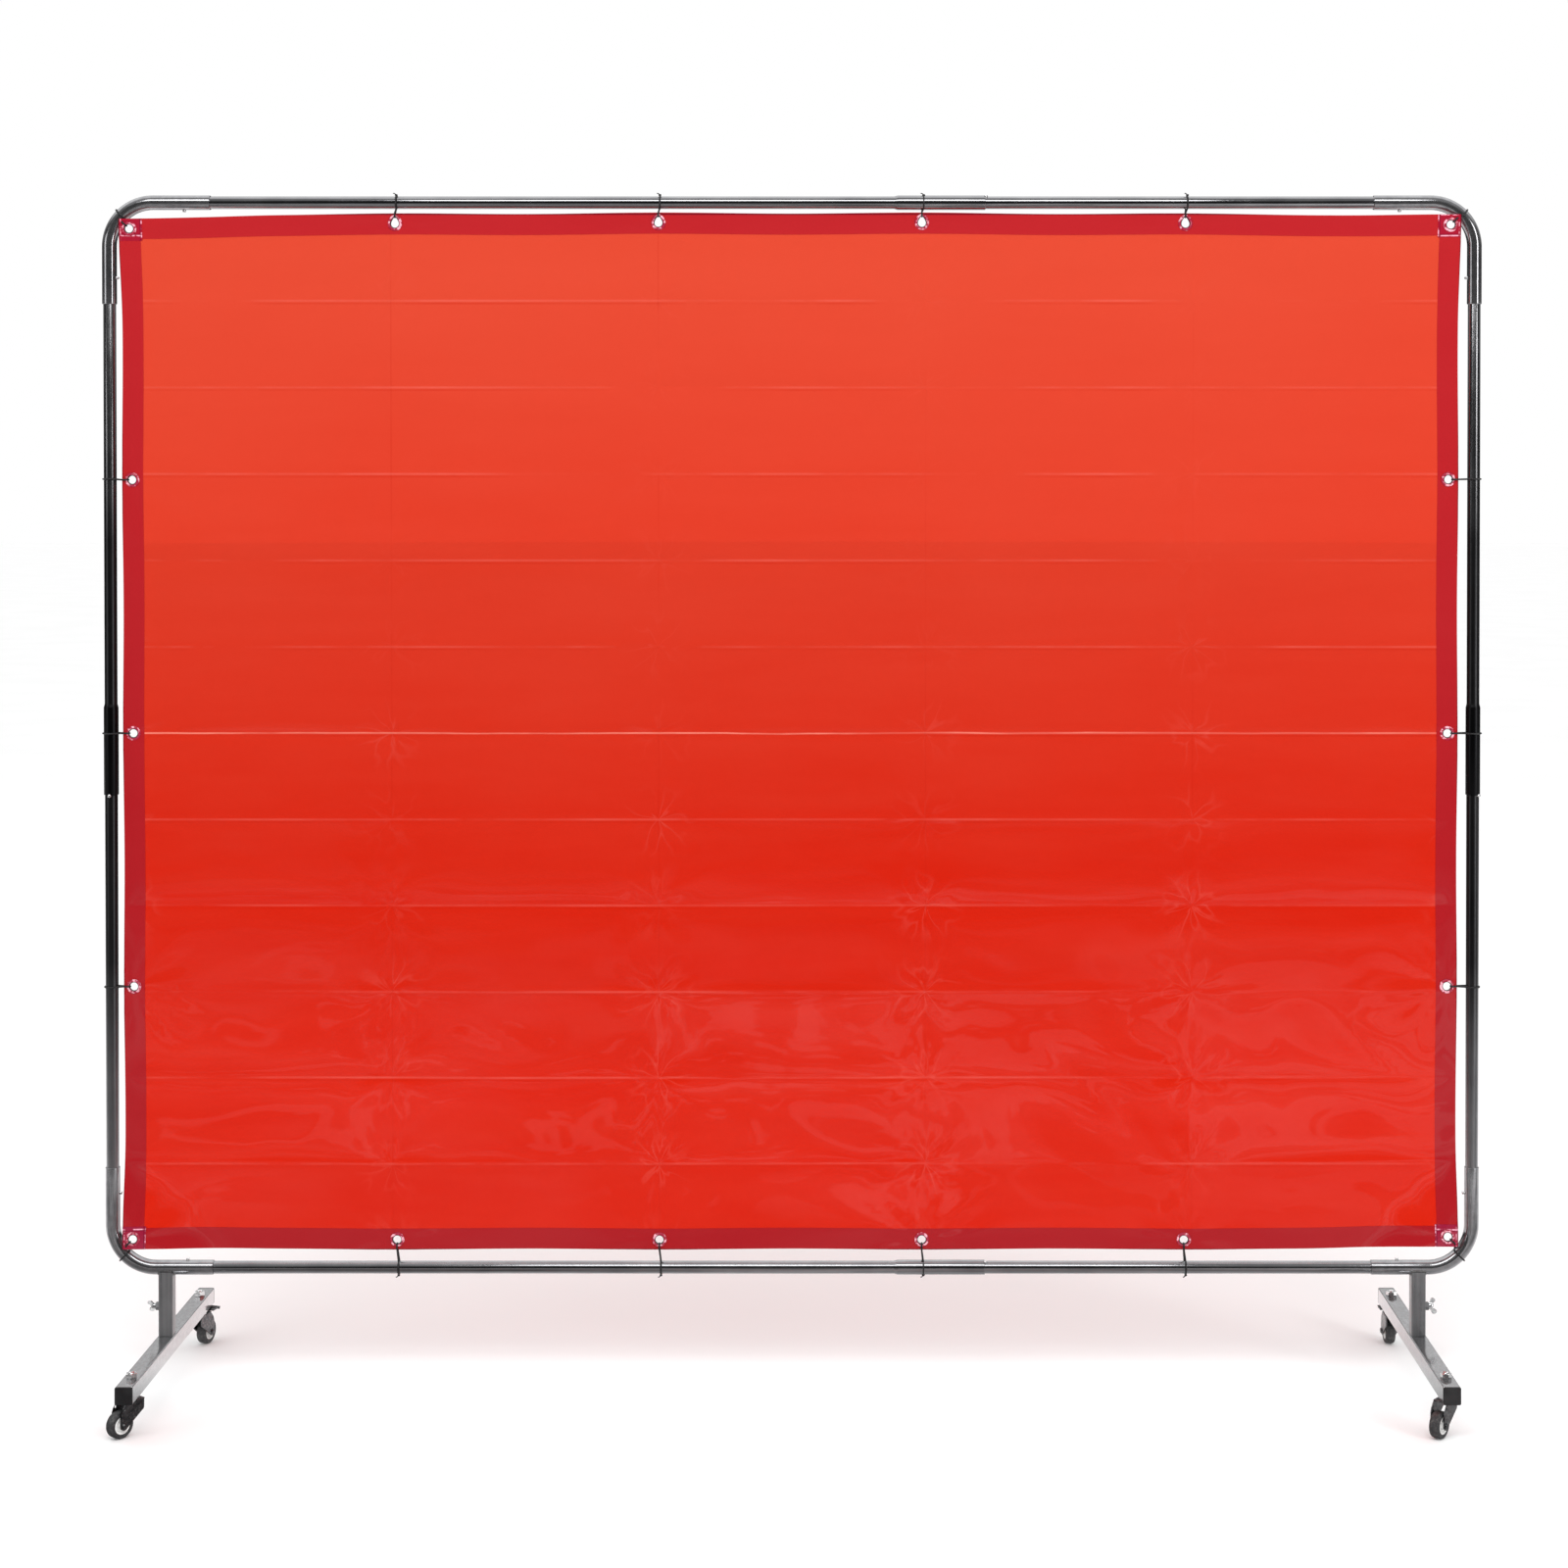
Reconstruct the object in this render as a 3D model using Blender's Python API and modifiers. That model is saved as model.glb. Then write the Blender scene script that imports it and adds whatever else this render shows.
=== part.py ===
"""Welding curtain screen: a round-tube frame on two castered feet, with a curtain tied inside it.

Metres, +Z up, front at -Y. The origin is on the floor, midway between the feet.
"""

import math

import bmesh
import bpy
from mathutils import Matrix, Vector

GAP = 0.0003  # left between pieces that touch
BURIED = 0.0005  # how far a welded or riveted piece reaches into its neighbour

# Frame, measured between the tubes' centrelines.
FRAME_WIDTH = 2.400
FRAME_BOTTOM = 0.2145
FRAME_TOP = 2.093
TUBE_RADIUS = 0.011
TUBE_WALL = 0.0012
TUBE_SIDES = 20
SOCKET_RADIUS = 0.0127
SOCKET_DEPTH = 0.154
SOCKET_TAPER = 0.006
INSERT_DEPTH = SOCKET_DEPTH - 0.002  # length of the tube that goes into a socket
CORNER_RADIUS = 0.077
CORNER_LEG = 0.178
CORNER_STEPS = 10
TUBE_END = 0.080  # from a corner's centreline crossing to the end of the tube inside it
SIDE_SOCKET_END = 1.051  # height of the open end of each side's socket
BAR_SOCKET_END = 0.340  # distance right of centre of the open end of each bar's socket

# Sprung buttons that lock the tubes.
BUTTON_RADIUS = 0.003
BUTTON_FLANGE_RADIUS = 0.0043
BUTTON_BASE = 0.007
BUTTON_SHOULDER = 0.0083
BUTTON_PROUD = 0.0045
BUTTON_DOME = 0.0016  # height of the domed part
CORNER_BUTTON = 0.132  # from a corner's centreline crossing
NOTCH_OFFSET = 0.001  # a mid-joint button stands this far outside its socket's end

# Curtain.
CURTAIN_HALF_WIDTH = 1.176
CURTAIN_BOTTOM = 0.246
CURTAIN_TOP = 2.073
CURTAIN_THICKNESS = 0.0012
EYELET_INSET = 0.018
EYELET_RADIUS = 0.0075
EYELET_COLUMNS = 6
EYELET_ROWS = 5
EYELET_SIDES = 8

# Feet.
FOOT_X = 1.105
FOOT_LENGTH = 0.560
BEAM_SIZE = 0.030
BEAM_WALL = 0.0015
BEAM_BOTTOM = 0.065
CAP_FLANGE = 0.0027
CAP_PLUG = 0.015
CAP_BEVEL = 0.0012
POST_SIZE = 0.025
POST_WALL = 0.0012
STUB_SIZE = 0.020
STUB_HEIGHT = 0.085
SQUARE_CORNER = 0.0025
SCREW_HEIGHT = 0.146
SCREW_RADIUS = 0.004
SADDLE_DEPTH = 0.0055  # from the tube's centreline to the post's highest corners
WELD_NUT_ACROSS = 0.013
WELD_NUT_THICKNESS = 0.007
SCREW_TIP_RADIUS = 0.003
SCREW_HEAD_RADIUS = 0.0058
SCREW_HEAD_HEIGHT = 0.0085
SCREW_HEAD_BEVEL = 0.0014
SCREW_NECK = 0.0006  # from the nut to the underside of the head
WING_THICKNESS = 0.0026
WING_ROOT = 0.003  # distance from the screw's axis at which a wing starts
WING_TIP = (0.0095, 0.0088)  # centre of a wing's round end: off the axis, above the nut
WING_TIP_RADIUS = 0.0048
WING_TURN = math.radians(50)

# Casters. A fork's local +X is the way its wheel trails behind the stem.
STEM_Y = 0.230
STEM_RADIUS = 0.005
STEM_TOP = 0.1058
NUT_ACROSS = 0.017
NUT_THICKNESS = 0.008
RACE_RADIUS = 0.012
KING_PIN_HEAD_RADIUS = 0.009
KING_PIN_HEAD = 0.0025  # thickness
CROWN_TOP = 0.0608
CROWN_THICKNESS = 0.0025
CROWN_REAR = -0.017
CROWN_FRONT = 0.020
LEG_INNER = 0.011
LEG_THICKNESS = 0.0022
LEG_INSET = 0.0012  # from the crown's ends and underside to a leg's upper corners
LEG_KNEES = (0.043, 0.047)  # heights at which a leg's rear and front edges turn towards the axle
RIVET_RADIUS = 0.0052
RIVET_HEIGHT = 0.0028
RIVET_SEAT = 0.0004  # how far a rivet head is set into its leg
TRAIL = 0.024
WHEEL_RADIUS = 0.0225
WHEEL_SIDES = 28
TYRE_WIDTH = 0.018
HUB_RADIUS = 0.015
HUB_WIDTH = 0.020
AXLE_RADIUS = 0.003
BOSS_RADIUS = 0.0075
WEB_RADII = (0.0065, 0.0115)  # the hub's recessed web, inner and outer
WEB_RECESS = 0.003
PEDAL_PIVOT = 0.050
PEDAL_PIN_RADIUS = 0.002
PEDAL_WIDTH = 0.034
PEDAL_LENGTH = 0.026
PEDAL_THICKNESS = 0.0018
PEDAL_CENTRE = (0.034, 0.0622)  # behind the stem, above the floor
CAM_LENGTH = 0.006
CAM_WIDTH = 0.016

CASTERS = {
    "front_left": {"x": -FOOT_X, "y": -STEM_Y, "heading": math.radians(231.5)},
    "front_right": {"x": FOOT_X, "y": -STEM_Y, "heading": math.radians(231.5)},
    "rear_left": {"x": -FOOT_X, "y": STEM_Y, "heading": math.radians(75)},
    "rear_right": {"x": FOOT_X, "y": STEM_Y, "heading": math.radians(90)},
}
BRAKED = ("rear_left", "rear_right")
SIDES = {"left": -1, "right": 1}

FINISHES = {
    "galvanised": {"color": (0.36, 0.37, 0.38), "metallic": 1.0, "roughness": 0.30},
    "zinc_plated": {"color": (0.66, 0.66, 0.68), "metallic": 1.0, "roughness": 0.32},
    "bright_steel": {"color": (0.80, 0.80, 0.80), "metallic": 1.0, "roughness": 0.18},
    "black_plastic": {"color": (0.02, 0.02, 0.02), "metallic": 0.0, "roughness": 0.40},
    "black_rubber": {"color": (0.05, 0.05, 0.05), "metallic": 0.0, "roughness": 0.70},
    "pale_plastic": {"color": (0.80, 0.80, 0.78), "metallic": 0.0, "roughness": 0.35},
    "red_vinyl": {"color": (0.80, 0.08, 0.03), "metallic": 0.0, "roughness": 0.20},
}


# ---- scene and helpers ----


def clear_scene():
    for obj in list(bpy.data.objects):
        bpy.data.objects.remove(obj, do_unlink=True)


def make_collection(name):
    collection = bpy.data.collections.new(name)
    bpy.context.scene.collection.children.link(collection)
    return collection


def make_material(name, finish):
    material = bpy.data.materials.new(name)
    material.use_nodes = True
    shader = material.node_tree.nodes["Principled BSDF"]
    shader.inputs["Base Color"].default_value = (*finish["color"], 1.0)
    shader.inputs["Metallic"].default_value = finish["metallic"]
    shader.inputs["Roughness"].default_value = finish["roughness"]
    return material


def add_object(name, mesh, collection, matrix=None, parent=None):
    """Adds mesh as a named object; matrix is its place in its parent, or in the world."""
    obj = bpy.data.objects.new(name, mesh)
    collection.objects.link(obj)
    obj.parent = parent
    if matrix is not None:
        obj.matrix_local = matrix
    return obj


def aimed(origin, direction):
    """A matrix that puts local Z along direction, from origin."""
    turn = Vector(direction).to_track_quat("Z", "Y").to_matrix().to_4x4()
    return Matrix.Translation(origin) @ turn


def finished_mesh(obj, smooth=True):
    """The welded, outward-facing mesh that obj and its modifiers give. The object is removed."""
    bpy.context.view_layer.update()
    depsgraph = bpy.context.evaluated_depsgraph_get()
    mesh = bpy.data.meshes.new_from_object(obj.evaluated_get(depsgraph))
    mesh.name = obj.name
    bpy.data.objects.remove(obj, do_unlink=True)
    work = bmesh.new()
    work.from_mesh(mesh)
    bmesh.ops.remove_doubles(work, verts=work.verts, dist=0.00001)
    bmesh.ops.recalc_face_normals(work, faces=work.faces)
    work.to_mesh(mesh)
    work.free()
    if smooth:
        mesh.shade_smooth()
        mesh.set_sharp_from_angle(angle=math.radians(35))
    return mesh


def temporary(name, data):
    obj = bpy.data.objects.new(name, data)
    bpy.context.scene.collection.objects.link(obj)
    return obj


def turned(name, profile, sides, closed=False):
    """A profile of (radius, height) points turned about Z. It runs down its outer side."""
    mesh = bpy.data.meshes.new(name)
    count = len(profile)
    edges = [(i, i + 1) for i in range(count - 1)]
    if closed:
        edges.append((count - 1, 0))
    mesh.from_pydata([(r, 0, z) for r, z in profile], edges, [])
    obj = temporary(name, mesh)
    screw = obj.modifiers.new("Screw", "SCREW")
    screw.axis = "Z"
    screw.steps = sides
    screw.render_steps = sides
    screw.use_merge_vertices = True
    screw.merge_threshold = 0.00001
    return finished_mesh(obj)


def plate(name, loops, thickness):
    """A flat outline in local XY, with any later loops as holes, centred on its thickness."""
    curve = bpy.data.curves.new(name, "CURVE")
    curve.dimensions = "2D"
    curve.fill_mode = "BOTH"
    curve.extrude = thickness / 2
    for loop in loops:
        spline = curve.splines.new("POLY")
        spline.points.add(len(loop) - 1)
        for point, (x, y) in zip(spline.points, loop):
            point.co = (x, y, 0.0, 1.0)
        spline.use_cyclic_u = True
    return finished_mesh(temporary(name, curve))


def box(name, size, centre=(0, 0, 0), bevel=0.0):
    """A box of the given size, with all its edges rounded if bevel is set."""
    mesh = bpy.data.meshes.new(name)
    work = bmesh.new()
    place = Matrix.Translation(centre) @ Matrix.Diagonal((*size, 1.0))
    bmesh.ops.create_cube(work, size=1.0, matrix=place)
    work.to_mesh(mesh)
    work.free()
    obj = temporary(name, mesh)
    if bevel:
        rounding = obj.modifiers.new("Bevel", "BEVEL")
        rounding.width = bevel
        rounding.segments = 2
    return finished_mesh(obj, smooth=False)


def cylinder(name, radius, start, end, sides=16):
    """A solid cylinder along Z between two heights."""
    mesh = bpy.data.meshes.new(name)
    work = bmesh.new()
    bmesh.ops.create_cone(
        work,
        cap_ends=True,
        segments=sides,
        radius1=radius,
        radius2=radius,
        depth=end - start,
        matrix=Matrix.Translation((0, 0, (start + end) / 2)),
    )
    work.to_mesh(mesh)
    work.free()
    return mesh


def combined(name, base, steps):
    """Base joined with or cut by each (operation, mesh, matrix) in turn."""
    obj = temporary(name, base)
    helpers = []
    for operation, mesh, matrix in steps:
        helper = temporary(name + "_helper", mesh)
        helper.matrix_world = matrix
        helpers.append(helper)
        modifier = obj.modifiers.new(operation.title(), "BOOLEAN")
        modifier.operation = operation
        modifier.object = helper
    mesh = finished_mesh(obj)
    for helper in helpers:
        bpy.data.objects.remove(helper, do_unlink=True)
    return mesh


def arc(centre, radius, start, end, steps):
    """Points from one angle to another, in degrees, both ends included."""
    angles = [math.radians(start + (end - start) * i / steps) for i in range(steps + 1)]
    return [(centre[0] + radius * math.cos(a), centre[1] + radius * math.sin(a)) for a in angles]


def rounded_square(size, radius):
    points = []
    reach = size / 2 - radius
    for turn in range(4):
        angle = math.radians(45 + 90 * turn)
        centre = (math.copysign(reach, math.cos(angle)), math.copysign(reach, math.sin(angle)))
        points += arc(centre, radius, 90 * turn, 90 * turn + 90, 2)
    return points


def circle(centre, radius, sides):
    step = 360 / sides
    return arc(centre, radius, step / 2, 360 - step / 2, sides - 1)


def hexagon(across):
    return circle((0, 0), across / math.sqrt(3), 6)


def square_tube(name, size, wall, length):
    """A hollow square tube along local Z, centred on its length."""
    outer = rounded_square(size, SQUARE_CORNER)
    inner = rounded_square(size - 2 * wall, SQUARE_CORNER - wall)
    return plate(name, [outer, inner], length)


# ---- frame ----


def bent_tube():
    """A corner piece: two legs and a quarter bend, from the crossing of its legs' centrelines."""
    centre = (CORNER_RADIUS, CORNER_RADIUS)
    path = [(CORNER_LEG, 0.0)]
    path += arc(centre, CORNER_RADIUS, 270, 180, CORNER_STEPS)
    path.append((0.0, CORNER_LEG))
    curve = bpy.data.curves.new("bend", "CURVE")
    curve.dimensions = "3D"
    curve.bevel_depth = SOCKET_RADIUS
    curve.bevel_resolution = (TUBE_SIDES - 4) // 2
    curve.use_fill_caps = False
    spline = curve.splines.new("POLY")
    spline.points.add(len(path) - 1)
    for point, (x, z) in zip(spline.points, path):
        point.co = (x, 0.0, z, 1.0)
    obj = temporary("bend_shell", finished_mesh(temporary("bend", curve)))
    shell = obj.modifiers.new("Solidify", "SOLIDIFY")
    shell.thickness = TUBE_WALL
    shell.offset = -1.0
    shell.use_even_offset = True
    return finished_mesh(obj)


def straight_tube(length, socket):
    """A tube up local Z. With a socket, its lower end is widened to take the next tube."""
    outer = [(TUBE_RADIUS, length)]
    inner = [(TUBE_RADIUS - TUBE_WALL, length)]
    if socket:
        shoulder = SOCKET_DEPTH + SOCKET_TAPER
        outer += [(TUBE_RADIUS, shoulder), (SOCKET_RADIUS, SOCKET_DEPTH), (SOCKET_RADIUS, 0)]
        wide = SOCKET_RADIUS - TUBE_WALL
        inner += [(TUBE_RADIUS - TUBE_WALL, shoulder), (wide, SOCKET_DEPTH), (wide, 0)]
    else:
        outer.append((TUBE_RADIUS, 0))
        inner.append((TUBE_RADIUS - TUBE_WALL, 0))
    return turned("tube", outer + inner[::-1], TUBE_SIDES, closed=True)


def button_mesh(top):
    """A domed button whose flange sits inside the tube; local Z points out of the tube."""
    profile = [(0.0, top), (0.6 * BUTTON_RADIUS, top - BUTTON_DOME / 4), (BUTTON_RADIUS, top - BUTTON_DOME)]
    profile += [(BUTTON_RADIUS, BUTTON_SHOULDER), (BUTTON_FLANGE_RADIUS, BUTTON_SHOULDER)]
    profile += [(BUTTON_FLANGE_RADIUS, BUTTON_BASE), (0.0, BUTTON_BASE)]
    return turned("button", profile, 10)


class Frame:
    """The tubes, their corner pieces and the sprung buttons between them."""

    def __init__(self, parts, cutters, materials):
        self.parts = parts
        self.cutters = cutters
        self.materials = materials
        self.hole = cylinder("button_hole", BUTTON_RADIUS + GAP, BUTTON_BASE / 2, 2 * SOCKET_RADIUS)

    def tube(self, name, mesh, matrix):
        mesh = mesh.copy()
        mesh.materials.append(self.materials["galvanised"])
        return add_object(name, mesh, self.parts, matrix)

    def button(self, name, mesh, matrix, pierced):
        """Adds a button and bores its hole through each of the pierced tubes."""
        add_object("snap_button_" + name, mesh, self.parts, matrix)
        cutter = add_object("hole_" + name, self.hole, self.cutters, matrix)
        cutter.hide_render = True
        cutter.display_type = "WIRE"
        for tube in pierced:
            bore = tube.modifiers.new("Button hole", "BOOLEAN")
            bore.object = cutter

    def build(self):
        top, bottom, half = FRAME_TOP, FRAME_BOTTOM, FRAME_WIDTH / 2
        upper = straight_tube(top - TUBE_END - SIDE_SOCKET_END, True)
        lower = straight_tube(SIDE_SOCKET_END + INSERT_DEPTH - bottom - TUBE_END, False)
        left = straight_tube(half - TUBE_END + BAR_SOCKET_END, True)
        right = straight_tube(half - TUBE_END - BAR_SOCKET_END + INSERT_DEPTH, False)
        pairs = {}
        for side, sign in SIDES.items():
            x = sign * half
            high = self.tube(f"side_tube_upper_{side}", upper, aimed((x, 0, SIDE_SOCKET_END), (0, 0, 1)))
            low = self.tube(f"side_tube_lower_{side}", lower, aimed((x, 0, bottom + TUBE_END), (0, 0, 1)))
            pairs[side] = {"top": high, "bottom": low}
        for level, z in (("top", top), ("bottom", bottom)):
            start = (BAR_SOCKET_END, 0, z)
            first = self.tube(f"{level}_tube_left", left, aimed(start, (-1, 0, 0)))
            second = self.tube(f"{level}_tube_right", right, aimed((half - TUBE_END, 0, z), (-1, 0, 0)))
            pairs[level] = {"left": first, "right": second}
        self.corners(pairs, top, bottom, half)
        self.mid_buttons(pairs, top, bottom, half)

    def corners(self, pairs, top, bottom, half):
        bend = bent_tube()
        mesh = button_mesh(SOCKET_RADIUS + BUTTON_PROUD)
        mesh.materials.append(self.materials["bright_steel"])
        for side, sign in SIDES.items():
            for level, z, up in (("top", top, -1), ("bottom", bottom, 1)):
                crossing = Vector((sign * half, 0, z))
                across = Vector((-sign, 0, 0))
                along = Vector((0, 0, up))
                normal = along.cross(across)
                matrix = Matrix((across, normal, along)).transposed().to_4x4()
                matrix.translation = crossing
                corner = self.tube(f"corner_{level}_{side}", bend, matrix)
                place = aimed(crossing + across * CORNER_BUTTON, along)
                self.button(f"{level}_{side}_bar", mesh, place, (corner, pairs[level][side]))
                place = aimed(crossing + along * CORNER_BUTTON, across)
                self.button(f"{level}_{side}_side", mesh, place, (corner, pairs[side][level]))

    def mid_buttons(self, pairs, top, bottom, half):
        """One button at each mid joint, in a notch in the end of the socket."""
        mesh = button_mesh(TUBE_RADIUS + BUTTON_PROUD)
        mesh.materials.append(self.materials["bright_steel"])
        z = SIDE_SOCKET_END - NOTCH_OFFSET
        x = BAR_SOCKET_END + NOTCH_OFFSET
        turns = {"left": 0, "right": 40, "top": 60, "bottom": 60}
        for name, degrees in turns.items():
            turn = math.radians(degrees)
            if name in SIDES:
                origin = (SIDES[name] * half, 0, z)
                outward = (math.sin(turn), -math.cos(turn), 0)
            else:
                origin = (x, 0, top if name == "top" else bottom)
                outward = (0, -math.cos(turn), math.sin(turn))
            self.button("mid_" + name, mesh, aimed(origin, outward), pairs[name].values())


# ---- curtain ----


def curtain_outline():
    """The curtain's edge, with corners rounded to clear the frame's bends."""
    reach = CORNER_RADIUS - SOCKET_RADIUS - 2 * GAP
    points = []
    for level, sign in ((-1, 1), (1, 1), (1, -1), (-1, -1)):
        centre_x = FRAME_WIDTH / 2 - CORNER_RADIUS
        centre_z = (FRAME_TOP if level > 0 else FRAME_BOTTOM) - level * CORNER_RADIUS
        edge_z = CURTAIN_TOP if level > 0 else CURTAIN_BOTTOM
        start = math.degrees(math.acos((CURTAIN_HALF_WIDTH - centre_x) / reach))
        end = math.degrees(math.asin(abs(edge_z - centre_z) / reach))
        corner = [(sign * (centre_x + x), centre_z + level * z) for x, z in arc((0, 0), reach, start, end, 4)]
        points += corner if level * sign > 0 else corner[::-1]
    return points


def eyelet_centres():
    """Evenly spaced round the curtain's edge, corners included."""
    x_reach = CURTAIN_HALF_WIDTH - EYELET_INSET
    low = CURTAIN_BOTTOM + EYELET_INSET
    high = CURTAIN_TOP - EYELET_INSET
    centres = []
    for i in range(EYELET_COLUMNS):
        x = -x_reach + 2 * x_reach * i / (EYELET_COLUMNS - 1)
        centres += [(x, low), (x, high)]
    for i in range(1, EYELET_ROWS - 1):
        z = low + (high - low) * i / (EYELET_ROWS - 1)
        centres += [(-x_reach, z), (x_reach, z)]
    return centres


def build_curtain(parts, materials):
    holes = [circle(centre, EYELET_RADIUS, EYELET_SIDES) for centre in eyelet_centres()]
    mesh = plate("curtain", [curtain_outline()] + holes, CURTAIN_THICKNESS)
    mesh.materials.append(materials["red_vinyl"])
    add_object("curtain", mesh, parts, Matrix.Rotation(math.radians(90), 4, "X"))


# ---- feet ----


def post_mesh():
    """A square post, saddled under the corner tube, with a nut welded on its outer (+X) side."""
    bottom = BEAM_BOTTOM + BEAM_SIZE + GAP
    top = FRAME_BOTTOM - SADDLE_DEPTH
    middle = (bottom + top) / 2
    tube = square_tube("post_tube", POST_SIZE, POST_WALL, top - bottom)
    nut = plate("weld_nut", [hexagon(WELD_NUT_ACROSS)], WELD_NUT_THICKNESS + BURIED)
    saddle = cylinder("saddle", SOCKET_RADIUS + GAP, -POST_SIZE, POST_SIZE, 24)
    bore = cylinder("screw_bore", SCREW_RADIUS + GAP, POST_SIZE / 2 - 1.1 * POST_WALL, POST_SIZE)
    across = Matrix.Rotation(math.radians(90), 4, "Y")
    screw_line = Matrix.Translation((0, 0, SCREW_HEIGHT - middle)) @ across
    tube_line = Matrix.Translation((0, 0, FRAME_BOTTOM - middle)) @ across
    nut_centre = POST_SIZE / 2 + (WELD_NUT_THICKNESS - BURIED) / 2
    steps = [
        ("UNION", nut, screw_line @ Matrix.Translation((0, 0, nut_centre))),
        ("DIFFERENCE", bore, screw_line),
        ("DIFFERENCE", saddle, tube_line),
    ]
    return combined("post", tube, steps), middle


def wing_screw_mesh():
    """A screw with two flat wings. Local Z points out of the post, from the nut's outer face."""
    tip = STUB_SIZE / 2 + GAP - POST_SIZE / 2 - WELD_NUT_THICKNESS
    top, bevel = SCREW_HEAD_HEIGHT, SCREW_HEAD_BEVEL
    profile = [(0, top), (SCREW_HEAD_RADIUS - bevel, top), (SCREW_HEAD_RADIUS, top - bevel)]
    profile += [(SCREW_HEAD_RADIUS, 2 * SCREW_NECK), (SCREW_RADIUS, SCREW_NECK)]
    profile += [(SCREW_RADIUS, tip + 0.001), (SCREW_TIP_RADIUS, tip), (0, tip)]
    shank = turned("shank", profile, 16)
    wing = [(WING_ROOT, 0.2 * top), (WING_TIP[0] - 0.0015, 0.4 * top)]
    wing += arc(WING_TIP, WING_TIP_RADIUS, -60, 150, 10)
    wing += [(WING_ROOT, top - bevel)]
    ears = plate("wing", [wing], WING_THICKNESS)
    flat = Matrix.Rotation(math.radians(90), 4, "X")
    steps = [
        ("UNION", ears, Matrix.Rotation(WING_TURN, 4, "Z") @ flat),
        ("UNION", ears, Matrix.Rotation(WING_TURN + math.pi, 4, "Z") @ flat),
    ]
    return combined("wing_screw", shank, steps)


def cap_mesh():
    """A square end cap. Local +X points out of the beam, from the beam's middle line."""
    end = FOOT_LENGTH / 2
    flange = box("flange", (CAP_FLANGE, BEAM_SIZE, BEAM_SIZE), (end - CAP_FLANGE / 2, 0, 0), CAP_BEVEL)
    plug_size = BEAM_SIZE - 2 * BEAM_WALL - 3 * GAP
    plug_end = end - CAP_FLANGE / 2
    plug = box("plug", (CAP_PLUG, plug_size, plug_size), (plug_end - CAP_PLUG / 2, 0, 0))
    return combined("cap", flange, [("UNION", plug, Matrix.Identity(4))])


def build_feet(parts, cutters, materials):
    middle_z = BEAM_BOTTOM + BEAM_SIZE / 2
    top = BEAM_BOTTOM + BEAM_SIZE
    beam = square_tube("beam", BEAM_SIZE, BEAM_WALL, FOOT_LENGTH - 2 * (CAP_FLANGE + GAP))
    along_y = Matrix.Rotation(math.radians(-90), 4, "X")
    bore = cylinder("stem_bore", STEM_RADIUS + GAP, -BEAM_SIZE, BEAM_SIZE)
    bores = [("DIFFERENCE", bore, Matrix.Translation((0, y, 0))) for y in (-STEM_Y, STEM_Y)]
    beam.transform(along_y)
    beam = combined("beam", beam, bores)
    stub = square_tube("stub", STUB_SIZE, POST_WALL, STUB_HEIGHT)
    post, post_middle = post_mesh()
    screw = wing_screw_mesh()
    cap = cap_mesh()
    for mesh, finish in (
        (beam, "zinc_plated"),
        (stub, "zinc_plated"),
        (post, "galvanised"),
        (screw, "bright_steel"),
        (cap, "black_plastic"),
    ):
        mesh.materials.append(materials[finish])
    for side, sign in SIDES.items():
        x = sign * FOOT_X
        outward = Matrix.Rotation(0 if sign > 0 else math.pi, 4, "Z")
        add_object(f"foot_beam_{side}", beam, parts, Matrix.Translation((x, 0, middle_z)))
        stub_z = top + GAP + STUB_HEIGHT / 2
        add_object(f"foot_stub_{side}", stub, parts, Matrix.Translation((x, 0, stub_z)))
        add_object(f"leg_post_{side}", post, parts, Matrix.Translation((x, 0, post_middle)) @ outward)
        nut_face = sign * (FOOT_X + POST_SIZE / 2 + WELD_NUT_THICKNESS)
        add_object(f"wing_screw_{side}", screw, parts, aimed((nut_face, 0, SCREW_HEIGHT), (sign, 0, 0)))
        for end, angle in (("front", -90), ("rear", 90)):
            turn = Matrix.Rotation(math.radians(angle), 4, "Z")
            add_object(f"end_cap_{end}_{side}", cap, parts, Matrix.Translation((x, 0, middle_z)) @ turn)


# ---- casters ----


def stem_mesh():
    """Threaded stem, upper race and king pin in one turned piece; heights are above the floor."""
    race_bottom = CROWN_TOP + GAP
    race_top = BEAM_BOTTOM - GAP
    crown_bottom = CROWN_TOP - CROWN_THICKNESS
    head_top = crown_bottom - GAP
    chamfer = 0.001
    profile = [(0, STEM_TOP), (STEM_RADIUS - chamfer, STEM_TOP), (STEM_RADIUS, STEM_TOP - chamfer)]
    profile += [(STEM_RADIUS, race_top), (RACE_RADIUS - chamfer, race_top), (RACE_RADIUS, race_bottom)]
    profile += [(STEM_RADIUS, race_bottom), (STEM_RADIUS, head_top), (KING_PIN_HEAD_RADIUS, head_top)]
    profile += [(KING_PIN_HEAD_RADIUS - chamfer, head_top - KING_PIN_HEAD), (0, head_top - KING_PIN_HEAD)]
    return turned("stem", profile, 16)


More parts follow.
